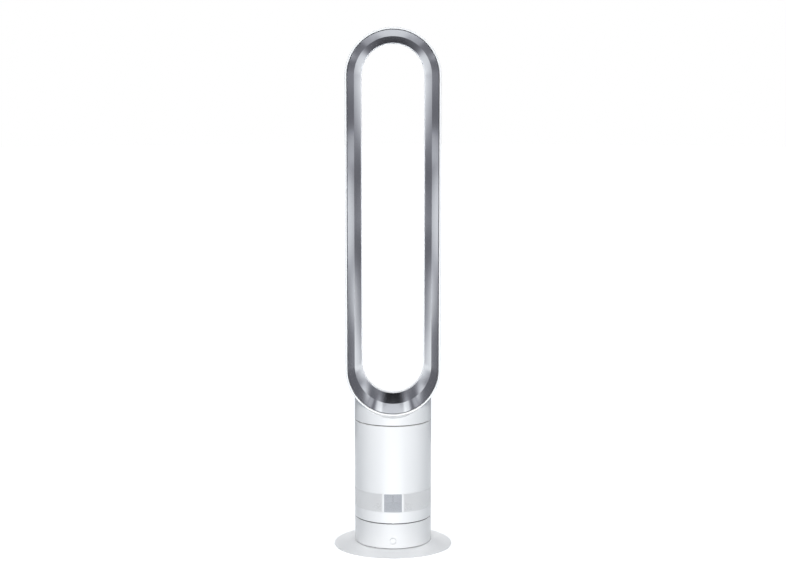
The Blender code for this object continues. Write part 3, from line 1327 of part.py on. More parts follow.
def make_collar():
    top = LOOP_LOW_CENTRE + LOOP_WALL
    collar = turned("loop_collar", drum(BODY_RADIUS, COLLAR_LOW_Z, top), WHITE, loop_axis)
    depth = 2 * BODY_RADIUS
    scoop = extruded("scoop", stadium(SCOOP_RADIUS), -depth, depth, upright=True)
    roof = extruded("roof", stadium(SCOOP_RADIUS + LOOP_WALL), -depth, depth, upright=True)
    hollow = turned("collar_hollow", drum(BODY_INNER, COLLAR_LOW_Z - LOOP_WALL, top + LOOP_WALL), None)
    cut(hollow, roof)
    bore_low = COLLAR_LOW_Z - LOOP_WALL / 2
    bore_length = RING_LOW_Z + SMALL_HEAD + RING_SCREW_LENGTH + TOUCH - bore_low
    for number, angle in enumerate(RING_SCREW_ANGLES, 1):
        x, y = polar(RING_SCREW_CIRCLE, angle)
        cut(hollow, rod(f"collar_boss_{number}", RING_BOSS_RADIUS, LOOP_RADIUS, (x, y, RING_TOP_Z + TOUCH)))
        join(hollow, rod(f"collar_bore_{number}", SMALL_SCREW_RADIUS + TOUCH, bore_length, (x, y, bore_low)))
    join(hollow, duct_cutter("collar_duct"))
    cut(collar, scoop, hollow)


def make_loop_shell():
    nose_middle = (LOOP_RADIUS + LIP_RADIUS) / 2
    nose_half = (LOOP_RADIUS - LIP_RADIUS) / 2
    outside = []
    inside = []
    for step in range(NOSE_STEPS + 1):
        turn = math.pi * step / NOSE_STEPS
        wall = LOOP_WALL + (LIP_WALL - LOOP_WALL) * step / NOSE_STEPS
        outside.append((nose_middle + nose_half * math.cos(turn), NOSE_Y + NOSE_DEPTH * math.sin(turn)))
        inside.append((nose_middle + (nose_half - wall) * math.cos(turn),
                       NOSE_Y + (NOSE_DEPTH - wall) * math.sin(turn)))
    tip_y = LOOP_FRONT_Y + THROAT_DEPTH - LIP_OVERLAP
    bead_inner = LOOP_RADIUS - RIM_WIDTH
    wall_inner = LOOP_RADIUS - LOOP_WALL
    front = [
        (bead_inner, LOOP_FRONT_Y),
        (LOOP_RADIUS - RIM_CHAMFER, LOOP_FRONT_Y),
        (LOOP_RADIUS, LOOP_FRONT_Y + RIM_CHAMFER),
    ]
    round_off = LIP_WALL / 2
    tip = [(LIP_RADIUS, tip_y + round_off), (LIP_RADIUS + round_off, tip_y), (LIP_RADIUS + LIP_WALL, tip_y)]
    bead = [(wall_inner, LOOP_FRONT_Y + RIM_BEAD + RIM_CHAMFER), (bead_inner, LOOP_FRONT_Y + RIM_BEAD)]
    shell = swept("loop_shell", front + outside + tip + inside[::-1] + bead, WHITE, loop_axis)
    cut(shell, duct_cutter("shell_duct"))


def make_nozzle():
    front_radius = LOOP_RADIUS - RIM_WIDTH - TOUCH
    crease_y = LOOP_FRONT_Y + CREASE_DEPTH
    throat_y = LOOP_FRONT_Y + THROAT_DEPTH
    front_y = LOOP_FRONT_Y + TOUCH
    slope = (front_radius - CREASE_RADIUS) / (crease_y - front_y)
    curl_middle = THROAT_RADIUS + NOZZLE_CURL
    visible = [(front_radius, front_y), (CREASE_RADIUS, crease_y)]
    inner_curl = NOZZLE_CURL - NOZZLE_TIP_WALL
    hidden = []
    for step in range(CURL_STEPS + 1):
        turn = math.pi / 2 * step / CURL_STEPS
        visible.append((curl_middle - NOZZLE_CURL * math.cos(turn), throat_y + NOZZLE_CURL * math.sin(turn)))
        hidden.insert(0, (curl_middle - inner_curl * math.cos(turn), throat_y + inner_curl * math.sin(turn)))
    hidden += [(CREASE_RADIUS + NOZZLE_WALL, crease_y), (front_radius, front_y + NOZZLE_WALL / slope)]
    swept("loop_nozzle", visible + hidden, SILVER, loop_axis)


make_foot()
make_base_housing()
make_chassis()
make_control_board()
make_switch()
make_power_button()
make_cord_gland()
make_drive()
make_pivot()
side_screw_z = make_turntable()
make_casing(side_screw_z)
make_grille()
make_inlet()
make_impeller()
make_diffuser()
make_motor()
make_socket()
make_bayonet_ring()
make_collar()
make_loop_shell()
make_nozzle()
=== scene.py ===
"""Looks of the bladeless tower fan: fine shells, finishes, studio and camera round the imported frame."""

import json
import math

import bmesh
import bpy
from mathutils import Matrix, Vector

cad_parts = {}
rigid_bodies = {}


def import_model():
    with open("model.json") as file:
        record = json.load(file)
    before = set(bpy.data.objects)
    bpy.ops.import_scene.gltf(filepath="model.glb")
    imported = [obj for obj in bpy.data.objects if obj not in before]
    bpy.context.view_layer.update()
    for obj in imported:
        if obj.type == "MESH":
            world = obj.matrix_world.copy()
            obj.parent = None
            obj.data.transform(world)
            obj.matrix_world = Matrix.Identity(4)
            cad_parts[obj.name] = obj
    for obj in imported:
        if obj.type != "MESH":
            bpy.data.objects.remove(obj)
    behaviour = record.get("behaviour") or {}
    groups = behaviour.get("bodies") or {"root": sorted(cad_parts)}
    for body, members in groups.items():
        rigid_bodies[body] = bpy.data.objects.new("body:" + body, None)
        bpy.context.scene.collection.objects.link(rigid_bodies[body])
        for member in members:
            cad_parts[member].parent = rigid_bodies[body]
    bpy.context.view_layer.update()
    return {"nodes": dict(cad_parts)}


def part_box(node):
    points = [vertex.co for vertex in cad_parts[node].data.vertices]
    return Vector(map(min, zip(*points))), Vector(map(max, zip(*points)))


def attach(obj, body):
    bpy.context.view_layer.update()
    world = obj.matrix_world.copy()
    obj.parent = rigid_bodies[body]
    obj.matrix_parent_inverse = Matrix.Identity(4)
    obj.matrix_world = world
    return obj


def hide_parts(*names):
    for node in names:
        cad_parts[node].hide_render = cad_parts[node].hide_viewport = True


for leftover in list(bpy.data.objects):
    bpy.data.objects.remove(leftover)

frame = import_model()

# ---------------------------------------------------------------- sizes read from the frame
disc_low, disc_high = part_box("base_disc")
housing_low, housing_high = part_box("base_housing")
casing_low, casing_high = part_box("body_casing")
grille_low, grille_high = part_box("intake_grille")
collar_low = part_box("loop_collar")[0]
shell_low, shell_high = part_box("loop_shell")
nozzle_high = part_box("loop_nozzle")[1]
button_low, button_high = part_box("power_button")
gland_low, gland_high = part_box("cord_gland")
ring_low, ring_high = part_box("foot_ring")
ballast_low, ballast_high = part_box("ballast_plate")
bearing_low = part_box("bearing_ring")[0]
screw_low, screw_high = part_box("base_screw_1")
drive_low, drive_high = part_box("drive_screw_1")
shaft_low, shaft_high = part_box("pinion_shaft")
turntable_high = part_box("turntable")[1]
socket_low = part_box("bayonet_socket")[0]

BODY_RADIUS = casing_high.x
FOOT_RADIUS = disc_high.x
LOOP_RADIUS = shell_high.x
LOOP_FRONT_Y = shell_low.y
LOOP_BACK_Y = shell_high.y
LOOP_LOW_CENTRE = shell_low.z + LOOP_RADIUS
LOOP_HIGH_CENTRE = shell_high.z - LOOP_RADIUS
NOZZLE_RADIUS = nozzle_high.x

# ---------------------------------------------------------------- sizes of the shells, in metres and degrees
FRONT_ANGLE = 270
TOUCH = 0.0003
HOUSING_WALL = 0.0025
SEAM_RELIEF = 0.0004
BASE_SEAM = 0.0007
SEAT_INSET = 0.0008
SEAT_DEPTH = 0.0014
CASING_WALL = 0.0022
CASING_FOOT_WALL = 0.0035
LEDGE_WIDTH = 0.0028
LEDGE_HEIGHT = 0.002
DECK_THICKNESS = 0.0025
EDGE_EASE = 0.0004

FOOT_FLAT_RADIUS = ballast_high.x
FOOT_UNDERSIDE_Z = ballast_high.z + TOUCH
FOOT_RIM_THICKNESS = 0.0016
FOOT_SLOPE_POWER = 1.5
BALLAST_BORE = 0.030
FOOT_RING_WIDTH = 0.008

WELL_RADIUS = 0.054
WELL_DEPTH = 0.0064
SHELF_Z = bearing_low.z - TOUCH
WIRE_HOLE = 0.0071
BOSS_CIRCLE = (screw_low.x + screw_high.x) / 2
BOSS_RADIUS = 0.004
BOSS_ANGLES = (0, 120, 240)
SCREW_BORE = 0.0018
SCREW_HEAD_HOLE = 2 * SCREW_BORE
DRIVE_X = (drive_low.x + drive_high.x) / 2
DRIVE_Y = (drive_low.y + drive_high.y) / 2
SHAFT_X = (shaft_low.x + shaft_high.x) / 2
SHAFT_HOLE = (shaft_high.x - shaft_low.x) / 2 + TOUCH

BUTTON_Z = (button_low.z + button_high.z) / 2
BUTTON_RADIUS = 0.0057
BUTTON_GAP = 0.0007
BUTTON_EDGE = 0.0005
BUTTON_FLANGE_THICKNESS = 0.0007
GLAND_Z = (gland_low.z + gland_high.z) / 2
GLAND_BORE = 0.0036
GLAND_NECK = 0.0057
GLAND_TAPER = 0.001
GLAND_FLANGE_THICKNESS = 0.002
GLAND_RIBS = 4
RIB_DEPTH = 0.0008
GROOVE_START, GROOVE_END = 0.1, 0.4
RIB_START, RIB_END = 0.45, 0.95

PANEL_HALF_ANGLE = 13.3
STRIP_HALF_ANGLE = 15.9
PILLAR_START = 16
PILLAR_SPACING = 48
PILLAR_HALF_ANGLE = 3
PILLARS_A_SIDE = 4
SHEET_THICKNESS = 0.0012
HOLE_PITCH = 0.0015
FRONT_HOLE = 0.00036
SIDE_HOLE = 0.0005
SHEET_GAP = 0.00005
RECESS_WALL = 0.002

LOOP_WALL = 0.0025
RIM_WIDTH = 0.0035
RIM_BEAD = 0.004
RIM_CHAMFER = 0.001
CREASE_RADIUS = 0.0740
CREASE_DEPTH = 0.0374
THROAT_RADIUS = 0.0606
THROAT_DEPTH = 0.0825
NOZZLE_WALL = 0.002
NOZZLE_CURL = 0.003
NOZZLE_TIP_WALL = 0.0016
NOZZLE_GAP = 0.0006
CREASE_EASE = 0.0004
BEND_SUPPORT = 0.0009
LIP_RADIUS = 0.0596
LIP_WALL = 0.0009
LIP_OVERLAP = 0.0008
NOSE_DEPTH = 0.025
DUCT_HALF_WIDTH = 0.050
DUCT_FRONT = 0.040
DUCT_REAR = 0.035
ROOF_STEPS = 8

# ---------------------------------------------------------------- fineness of the shapes
ROUND_SIDES = 256
SMALL_SIDES = 64
OVAL_STEPS = 96
SLOPE_STEPS = 24
NOSE_STEPS = 28
CURL_STEPS = 10
CORNER_STEPS = 4
SHELL_CORNER_STEPS = 6
WEDGE_STEPS = 12
FLOOR_SIDES = 128
ROUND_HOLE_CORNERS = 12
PLAIN_HOLE_CORNERS = 6
SHARP_ANGLE = 32
SAME_POINT = 0.000001
SAME_HOLE_POINT = 0.00002

# ---------------------------------------------------------------- studio, in metres and degrees
CAMERA_DISTANCE = 3.338
CAMERA_HEIGHT = 0.972
CAMERA_TILT = 8.09
CAMERA_LENS = 79.8
SENSOR_WIDTH = 36.0
KEY_ELEVATION = 25
KEY_ANGLE = 28
KEY_STRENGTH = 3.0
BACK_ELEVATION = 18
BACK_TURN = 30
BACK_ANGLE = 20
BACK_STRENGTH = 1.5
SKY_LIGHT = 0.17
SKY_TINT = (0.83, 0.92, 1.0)
FLOOR_RADIUS = 14.0
FLOOR_COLOUR = (0.24, 0.275, 0.31)
FLOOR_GLOW = 0.88
STRIP_SLOPE = 0.48
STRIP_SOFTNESS = 0.08
STRIP_GLOW = 3.2
CARD_Y = 0.50
CARD_MIDDLE_Z = 0.75
CARD_WIDTH = 1.6
CARD_HEIGHT = 1.3
CARD_TONE = 0.14
CARD_FALLOFF = 3
CARD_SHADE = (0.86, 0.87, 1.0)
CARD_LIGHT = (0.95, 0.98, 1.0)
# The card's soft patches, as x and z of the middle, half width, half height and level, and what they light.
CARD_PATCHES = (
    (0.00, 0.58, 0.20, 0.04, 0.65),  # outer band, middle of the upper bend
    (0.19, 0.63, 0.06, 0.04, 0.26),  # outer band, shoulders of the upper bend
    (0.36, 0.58, 0.03, 0.12, 0.65),  # outer band, middle of the straight sides
    (0.33, 0.74, 0.03, 0.04, 0.31),  # outer band, top of the straight sides and shoulders of the lower bend
    (0.00, 0.90, 0.25, 0.06, 0.73),  # outer band, middle of the lower bend
    (0.22, 0.84, 0.05, 0.10, 0.70),  # inner band, shoulders of the upper bend
    (0.29, 0.22, 0.03, 0.13, 0.79),  # inner band, foot of the straight sides
    (0.31, 0.40, 0.03, 0.08, 0.75),  # inner band, shoulders of the lower bend
    (0.00, 0.79, 0.14, 0.16, -0.13),  # inner band, a dark patch for the middle of both bends
)

# ---------------------------------------------------------------- finishes, as scales of the patterns
NOISE_LOW, NOISE_HIGH = 0.3, 0.7
SLOW_NOISE_SCALE = 24.0
SLOW_NOISE_DETAIL = 3.0
GRAIN_DETAIL = 3.0


# ---------------------------------------------------------------- node helpers
def new_material(name):
    """A new node material, with its nodes and links."""
    made = bpy.data.materials.new(name)
    made.use_nodes = True
    return made, made.node_tree.nodes, made.node_tree.links


def noise(nodes, links, position, scale, detail=2.0, stretch=(1, 1, 1)):
    """Object-space noise, its pattern drawn out along the axes where stretch is under 1."""
    mapping = nodes.new("ShaderNodeMapping")
    mapping.inputs["Scale"].default_value = stretch
    links.new(position, mapping.inputs["Vector"])
    made = nodes.new("ShaderNodeTexNoise")
    made.inputs["Scale"].default_value = scale
    made.inputs["Detail"].default_value = detail
    links.new(mapping.outputs["Vector"], made.inputs["Vector"])
    return made.outputs["Fac"]


def maths(nodes, links, operation, first, second=0.0):
    """One sum of two values, each a number or another node's output."""
    step = nodes.new("ShaderNodeMath")
    step.operation = operation
    for socket, value in zip(step.inputs, (first, second)):
        if isinstance(value, (int, float)):
            socket.default_value = value
        else:
            links.new(value, socket)
    return step.outputs[0]


def ranged(nodes, links, value, low, high):
    """Spread the usual span of a noise over low to high."""
    made = nodes.new("ShaderNodeMapRange")
    made.inputs["From Min"].default_value = NOISE_LOW
    made.inputs["From Max"].default_value = NOISE_HIGH
    made.inputs["To Min"].default_value = low
    made.inputs["To Max"].default_value = high
    links.new(value, made.inputs["Value"])
    return made.outputs["Result"]


def mixed(nodes, links, factor, first, second):
    """A colour between two, by a factor."""
    made = nodes.new("ShaderNodeMix")
    made.data_type = "RGBA"
    made.inputs["A"].default_value = (*first, 1)
    made.inputs["B"].default_value = (*second, 1)
    links.new(factor, made.inputs["Factor"])
    return made.outputs["Result"]


def bumped(nodes, links, height, depth):
    """A normal that follows a pattern's height, as deep as given."""
    made = nodes.new("ShaderNodeBump")
    made.inputs["Distance"].default_value = depth
    links.new(height, made.inputs["Height"])
    return made.outputs["Normal"]


def surface(
    name, colour, roughness, metallic=0.0, shade=0.03, grain=900.0, depth=0.00002,
    spread=0.06, stretch=(1, 1, 1),
):
    """A finish with grain in its relief, and slow changes in its tone and roughness."""
    made, nodes, links = new_material(name)
    shader = nodes["Principled BSDF"]
    place = nodes.new("ShaderNodeTexCoord").outputs["Object"]
    slow = noise(nodes, links, place, SLOW_NOISE_SCALE, SLOW_NOISE_DETAIL)
    fine = noise(nodes, links, place, grain, GRAIN_DETAIL, stretch)
    darker = tuple(channel * (1 - shade) for channel in colour)
    links.new(mixed(nodes, links, slow, darker, colour), shader.inputs["Base Color"])
    low, high = roughness * (1 - spread), roughness * (1 + spread)
    links.new(ranged(nodes, links, fine, low, high), shader.inputs["Roughness"])
    links.new(bumped(nodes, links, fine, depth), shader.inputs["Normal"])
    shader.inputs["Metallic"].default_value = metallic
    return made


def circuit_board():
    """Green lacquer over copper tracks, with rows of solder pads."""
    made, nodes, links = new_material("board_lacquer")
    shader = nodes["Principled BSDF"]
    place = nodes.new("ShaderNodeTexCoord").outputs["Object"]
    tracks = nodes.new("ShaderNodeTexBrick")
    tracks.inputs["Scale"].default_value = 260.0
    tracks.inputs["Mortar Size"].default_value = 0.03
    tracks.inputs["Color1"].default_value = (0.02, 0.13, 0.06, 1)
    tracks.inputs["Color2"].default_value = (0.025, 0.16, 0.075, 1)
    tracks.inputs["Mortar"].default_value = (0.10, 0.30, 0.14, 1)
    links.new(place, tracks.inputs["Vector"])
    links.new(tracks.outputs["Color"], shader.inputs["Base Color"])
    links.new(bumped(nodes, links, tracks.outputs["Fac"], 0.00004), shader.inputs["Normal"])
    links.new(ranged(nodes, links, noise(nodes, links, place, 300.0), 0.3, 0.45), shader.inputs["Roughness"])
    return made


def open_foam():
    """Charcoal foam with open cells."""
    made, nodes, links = new_material("acoustic_foam_cells")
    shader = nodes["Principled BSDF"]
    place = nodes.new("ShaderNodeTexCoord").outputs["Object"]
    cells = nodes.new("ShaderNodeTexVoronoi")
    cells.inputs["Scale"].default_value = 700.0
    links.new(place, cells.inputs["Vector"])
    tone = ranged(nodes, links, cells.outputs["Distance"], 0.0, 1.0)
    links.new(mixed(nodes, links, tone, (0.02, 0.02, 0.022), (0.11, 0.11, 0.12)), shader.inputs["Base Color"])
    links.new(bumped(nodes, links, cells.outputs["Distance"], 0.0006), shader.inputs["Normal"])
    shader.inputs["Roughness"].default_value = 0.95
    return made


WHITE = surface("moulded_white", (0.87, 0.875, 0.885), 0.33, shade=0.012, grain=1400.0, depth=0.000004)
SILVER = surface(
    "silver_lacquer", (0.87, 0.88, 0.90), 0.09, metallic=1.0, shade=0.02, depth=0.0000002, spread=0.15
)
# The same white plastic as the casing, made darker for the base housing and the button: painted shade that
# dims the lower body where light bounced up from the floor makes it brighter.
BASE_WHITE_PAINTED_SHADE = surface("base_white_painted_shade", (0.775, 0.78, 0.79), 0.33, shade=0.012, grain=1400.0, depth=0.000004)
MESH_WHITE = surface("screen_white", (0.81, 0.815, 0.825), 0.42, shade=0.02, grain=1800.0, depth=0.00001)
MESH_GREY = surface("panel_grey", (0.46, 0.475, 0.51), 0.42, shade=0.03, grain=1800.0, depth=0.00001)
FINISHES = {
    "white_shell": WHITE,
    "silver_coat": SILVER,
    "intake_grey": MESH_GREY,
    "dark_plastic": surface("moulded_black", (0.035, 0.035, 0.04), 0.48, shade=0.25, depth=0.00003),
    "acetal": surface("natural_acetal", (0.78, 0.77, 0.71), 0.36, shade=0.05, grain=500.0),
    "rubber": surface("soft_rubber", (0.035, 0.035, 0.036), 0.78, shade=0.3, grain=1500.0, depth=0.00004),
    "steel": surface(
        "turned_steel", (0.56, 0.57, 0.58), 0.3, metallic=1.0, shade=0.15, depth=0.00001, spread=0.3,
        stretch=(1, 1, 0.05),
    ),
    "ballast_iron": surface(
        "cast_iron", (0.10, 0.10, 0.11), 0.62, metallic=0.9, shade=0.4, grain=420.0, depth=0.00012, spread=0.2
    ),
    "circuit_board": circuit_board(),
    "foam": open_foam(),
}


# ---------------------------------------------------------------- shape helpers
def eased(corners, steps=CORNER_STEPS):
    """A closed outline whose (a, b, radius) corners are rounded; a corner with no radius stays sharp."""
    outline = []
    for before, corner, after in zip(corners[-1:] + corners[:-1], corners, corners[1:] + corners[:1]):
        here = Vector(corner[:2])
        if len(corner) < 3:
            outline.append(tuple(here))
            continue
        back = (Vector(before[:2]) - here).normalized()
        ahead = (Vector(after[:2]) - here).normalized()
        half = back.angle(ahead) / 2
        centre = here + (back + ahead).normalized() * corner[2] / math.sin(half)
        reach = corner[2] / math.tan(half)
        first = here + back * reach - centre
        last = here + ahead * reach - centre
        sweep = -first.angle_signed(last)
        for step in range(steps + 1):
            outline.append(tuple(centre + Matrix.Rotation(sweep * step / steps, 2) @ first))
    return outline


def skin(name, rings, closed=True):
    """Join rings of points into one surface; an open row of rings gets flat ends."""
    shape = bmesh.new()
    rows = [[shape.verts.new(point) for point in ring] for ring in rings]
    pairs = list(zip(rows, rows[1:]))
    if closed:
        pairs.append((rows[-1], rows[0]))
    for near, far in pairs:
        for index in range(len(near)):
            following = (index + 1) % len(near)
            shape.faces.new((near[index], near[following], far[following], far[index]))
    if not closed:
        shape.faces.new(rows[0])
        shape.faces.new(rows[-1])
    bmesh.ops.remove_doubles(shape, verts=shape.verts, dist=SAME_POINT)
    bmesh.ops.recalc_face_normals(shape, faces=shape.faces)
    return solid(name, shape)


def solid(name, shape):
    """Turn the shape into an object, smooth but for its sharp edges."""
    mesh = bpy.data.meshes.new(name)
    shape.to_mesh(mesh)
    shape.free()
    mesh.shade_smooth()
    mesh.set_sharp_from_angle(angle=math.radians(SHARP_ANGLE))
    made = bpy.data.objects.new(name, mesh)
    bpy.context.scene.collection.objects.link(made)
    return made


def revolve(name, outline, sides=ROUND_SIDES, matrix=Matrix()):
    """Turn a (radius, height) outline round the vertical axis, then place it by the matrix."""
    rings = []
    for side in range(sides):
        angle = 2 * math.pi * side / sides
        rings.append([matrix @ Vector((r * math.cos(angle), r * math.sin(angle), z)) for r, z in outline])
    return skin(name, rings)


def round_loop(name, section):
    """Sweep a closed (radius, depth) section round the loop's oval of two half circles."""
    rings = []
    for centre, start in ((LOOP_HIGH_CENTRE, 0), (LOOP_LOW_CENTRE, math.pi)):
        for step in range(OVAL_STEPS + 1):
            angle = start + math.pi * step / OVAL_STEPS
            rings.append([(r * math.cos(angle), y, centre + r * math.sin(angle)) for r, y in section])
    return skin(name, rings)


def wedge(inner, outer, low, high, first, last):
    """The block between two radii, two heights and two angles in degrees."""
    rings = []
    for step in range(WEDGE_STEPS + 1):
        angle = math.radians(first + (last - first) * step / WEDGE_STEPS)
        corners = ((inner, low), (outer, low), (outer, high), (inner, high))
        rings.append([(r * math.cos(angle), r * math.sin(angle), z) for r, z in corners])
    return skin("cutter", rings, closed=False)


def post(radius, length, start, direction=(0, 0, 1)):
    """A cutter or a boss: a round post from a start along a direction."""
    shape = bmesh.new()
    turn = Vector((0, 0, 1)).rotation_difference(Vector(direction)).to_matrix().to_4x4()
    at = Matrix.Translation(Vector(start) + Vector(direction) * length / 2) @ turn
    bmesh.ops.create_cone(
        shape, cap_ends=True, segments=SMALL_SIDES, radius1=radius, radius2=radius, depth=length, matrix=at
    )
    return solid("cutter", shape)


def box_between(low, high):
    """A cutter: the box between two corners."""
    shape = bmesh.new()
    size = Vector(high) - Vector(low)
    middle = (Vector(high) + Vector(low)) / 2
    at = Matrix.Translation(middle) @ Matrix.Diagonal((*size, 1))
    bmesh.ops.create_cube(shape, size=1, matrix=at)
    return solid("cutter", shape)


def combine(piece, others, operation="DIFFERENCE"):
    """Cut the others out of the piece, or join them to it; with no others, only apply its modifiers."""
    for other in others:
        change = piece.modifiers.new("change", "BOOLEAN")
        change.operation = operation
        change.object = other
    changed = bpy.data.meshes.new_from_object(piece.evaluated_get(bpy.context.evaluated_depsgraph_get()))
    piece.modifiers.clear()
    piece.data = changed
    for other in others:
        bpy.data.objects.remove(other)
    changed.shade_smooth()
    changed.set_sharp_from_angle(angle=math.radians(SHARP_ANGLE))


def dress(piece, finish, body, slot, *nodes):
    """Give the piece its finish, the body that it rides on and the nodes that it stands for."""
    piece.data.materials.clear()
    piece.data.materials.append(finish)
    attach(piece, body)
    if nodes:
        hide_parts(*nodes)


def polar(radius, degrees, height):
    """A point on a circle round the tower's axis."""
    angle = math.radians(degrees)
    return (radius * math.cos(angle), radius * math.sin(angle), height)


def screw_posts(radius, height):
    """One upright cutter for each base screw, from the floor to a height."""
    return [post(radius, height, polar(BOSS_CIRCLE, angle, 0)) for angle in BOSS_ANGLES]


# ---------------------------------------------------------------- base
def foot_slope(radius, crown, rim):
    """The dome's height at a radius: level under the housing, then falling ever faster to the rim."""
    share = max(0, radius - FOOT_FLAT_RADIUS) / (FOOT_RADIUS - FOOT_FLAT_RADIUS)
    return crown - (crown - rim) * share**FOOT_SLOPE_POWER


def make_foot():
    """The domed disc with a seat for the housing, the ballast ring in it and the rubber ring under it."""
    width = FOOT_RADIUS - EDGE_EASE - FOOT_FLAT_RADIUS
    radii = [FOOT_FLAT_RADIUS + width * step / SLOPE_STEPS for step in range(SLOPE_STEPS)]
    rim_z = disc_low.z + FOOT_RIM_THICKNESS
    seat = BODY_RADIUS - SEAT_INSET
    top = [(radius, foot_slope(radius, disc_high.z, rim_z)) for radius in radii]
    underside = [(radius, foot_slope(radius, FOOT_UNDERSIDE_Z, disc_low.z)) for radius in radii]
    disc = revolve("foot_disc", eased([
        (0, FOOT_UNDERSIDE_Z),
        *underside,
        (FOOT_RADIUS, disc_low.z, EDGE_EASE),
        (FOOT_RADIUS, rim_z, EDGE_EASE),
        *reversed(top),
        (seat, disc_high.z, EDGE_EASE),
        (seat, disc_high.z - SEAT_DEPTH),
        (0, disc_high.z - SEAT_DEPTH),
    ]))
    combine(disc, screw_posts(SCREW_BORE, 2 * disc_high.z))
    dress(disc, WHITE, "root", "white_shell", "base_disc")
    ballast = revolve("ballast_ring", eased([
        (BALLAST_BORE, ballast_low.z),
        (FOOT_FLAT_RADIUS, ballast_low.z, EDGE_EASE),
        (FOOT_FLAT_RADIUS, ballast_high.z, EDGE_EASE),
        (BALLAST_BORE, ballast_high.z),
    ]))
    combine(ballast, screw_posts(SCREW_HEAD_HOLE, 2 * disc_high.z))
    dress(ballast, FINISHES["ballast_iron"], "root", "ballast_iron", "ballast_plate")
    outer = ring_high.x
    inner = outer - FOOT_RING_WIDTH
    ring = revolve("rubber_foot_ring", eased([
        (inner, ring_low.z, EDGE_EASE),
        (outer, ring_low.z, EDGE_EASE),
        (outer, foot_slope(outer, FOOT_UNDERSIDE_Z, disc_low.z) - TOUCH, EDGE_EASE),
        (inner, ring_high.z, EDGE_EASE),
    ]))
    dress(ring, FINISHES["rubber"], "root", "rubber", "foot_ring")


def make_base_housing():
    """The base's wall, its deck with the gear well, the screw bosses, and the holes for all that it holds."""
    inner = BODY_RADIUS - HOUSING_WALL
    shelf_low = SHELF_Z - DECK_THICKNESS
    well_outer = WELL_RADIUS + DECK_THICKNESS
    well_floor = SHELF_Z - WELL_DEPTH
    well_low = well_floor - DECK_THICKNESS
    housing = revolve("base_shell", eased([
        (BODY_RADIUS, housing_low.z + BASE_SEAM, EDGE_EASE),
        (BODY_RADIUS, housing_high.z - SEAM_RELIEF, EDGE_EASE),
        (inner, housing_high.z - SEAM_RELIEF, EDGE_EASE),
        (inner, SHELF_Z),
        (WELL_RADIUS, SHELF_Z),
        (WELL_RADIUS, well_floor),
        (WIRE_HOLE, well_floor),
        (WIRE_HOLE, well_low),
        (well_outer, well_low),
        (well_outer, shelf_low),
        (inner, shelf_low),
        (inner, housing_low.z + BASE_SEAM),
    ]))
    boss_low = housing_low.z + DECK_THICKNESS
    boss_height = SHELF_Z - TOUCH - boss_low
    bosses = [post(BOSS_RADIUS, boss_height, polar(BOSS_CIRCLE, angle, boss_low)) for angle in BOSS_ANGLES]
    combine(housing, bosses, "UNION")
    cutters = screw_posts(SCREW_BORE, screw_high.z + TOUCH)
    through = 3 * DECK_THICKNESS
    start = well_low - DECK_THICKNESS
    cutters += [post(SCREW_BORE, through, (DRIVE_X, y, start)) for y in (-DRIVE_Y, DRIVE_Y)]
    cutters.append(post(SHAFT_HOLE, through, (SHAFT_X, 0, start)))
    front = (0, -inner + HOUSING_WALL, BUTTON_Z)
    back = (0, inner - HOUSING_WALL, GLAND_Z)
    cutters.append(post(BUTTON_RADIUS + BUTTON_GAP, 3 * HOUSING_WALL, front, (0, -1, 0)))
    cutters.append(post(GLAND_NECK + TOUCH, 3 * HOUSING_WALL, back, (0, 1, 0)))
    combine(housing, cutters)
    # The housing takes the darker copy of the white plastic: painted shade against the floor's bounced light.
    dress(housing, BASE_WHITE_PAINTED_SHADE, "root", "white_shell", "base_housing")


def make_button():
    """The push button, its face just proud of the wall and its flange behind the wall."""
    depth = button_high.y - button_low.y
    flange = button_high.x
    flange_rise = depth - BUTTON_FLANGE_THICKNESS
    face_forward = Matrix.Translation((0, button_low.y, BUTTON_Z)) @ Matrix.Rotation(-math.pi / 2, 4, "X")
    button = revolve("push_button", eased([
        (0, 0),
        (BUTTON_RADIUS, 0, BUTTON_EDGE),
        (BUTTON_RADIUS, flange_rise),
        (flange, flange_rise),
        (flange, depth),
        (0, depth),
    ]), SMALL_SIDES, face_forward)
    # The button takes the darker copy of the white plastic: painted shade against the floor's bounced light.
    dress(button, BASE_WHITE_PAINTED_SHADE, "button", "white_shell", "power_button")


def make_gland():
    """The moulded strain relief, with ribs down its tapered boot."""
    depth = gland_high.y - gland_low.y
    flange = gland_high.x
    wall_in = math.sqrt((BODY_RADIUS - HOUSING_WALL)**2 - flange**2) - gland_low.y
    wall_out = BODY_RADIUS - gland_low.y + TOUCH
    flange_end = wall_out + GLAND_FLANGE_THICKNESS
    outline = [
        (GLAND_BORE, 0),
        (flange, 0, EDGE_EASE),
        (flange, wall_in - TOUCH),
        (GLAND_NECK, wall_in - TOUCH),
        (GLAND_NECK, wall_out),
        (flange, wall_out),
        (flange, flange_end, EDGE_EASE),
    ]
    rib = (depth - flange_end) / GLAND_RIBS
    for number in range(GLAND_RIBS):
        start = flange_end + rib * number
        radius = GLAND_NECK - GLAND_TAPER * number / GLAND_RIBS
        outline += [
            (radius - RIB_DEPTH, start + GROOVE_START * rib),
            (radius - RIB_DEPTH, start + GROOVE_END * rib),
            (radius, start + RIB_START * rib),
            (radius, start + RIB_END * rib),
        ]
    outline.append((GLAND_BORE, depth))
    backward = Matrix.Translation((0, gland_low.y, GLAND_Z)) @ Matrix.Rotation(-math.pi / 2, 4, "X")
    gland = revolve("strain_relief", eased(outline), SMALL_SIDES, backward)
    dress(gland, FINISHES["rubber"], "root", "rubber", "cord_gland")


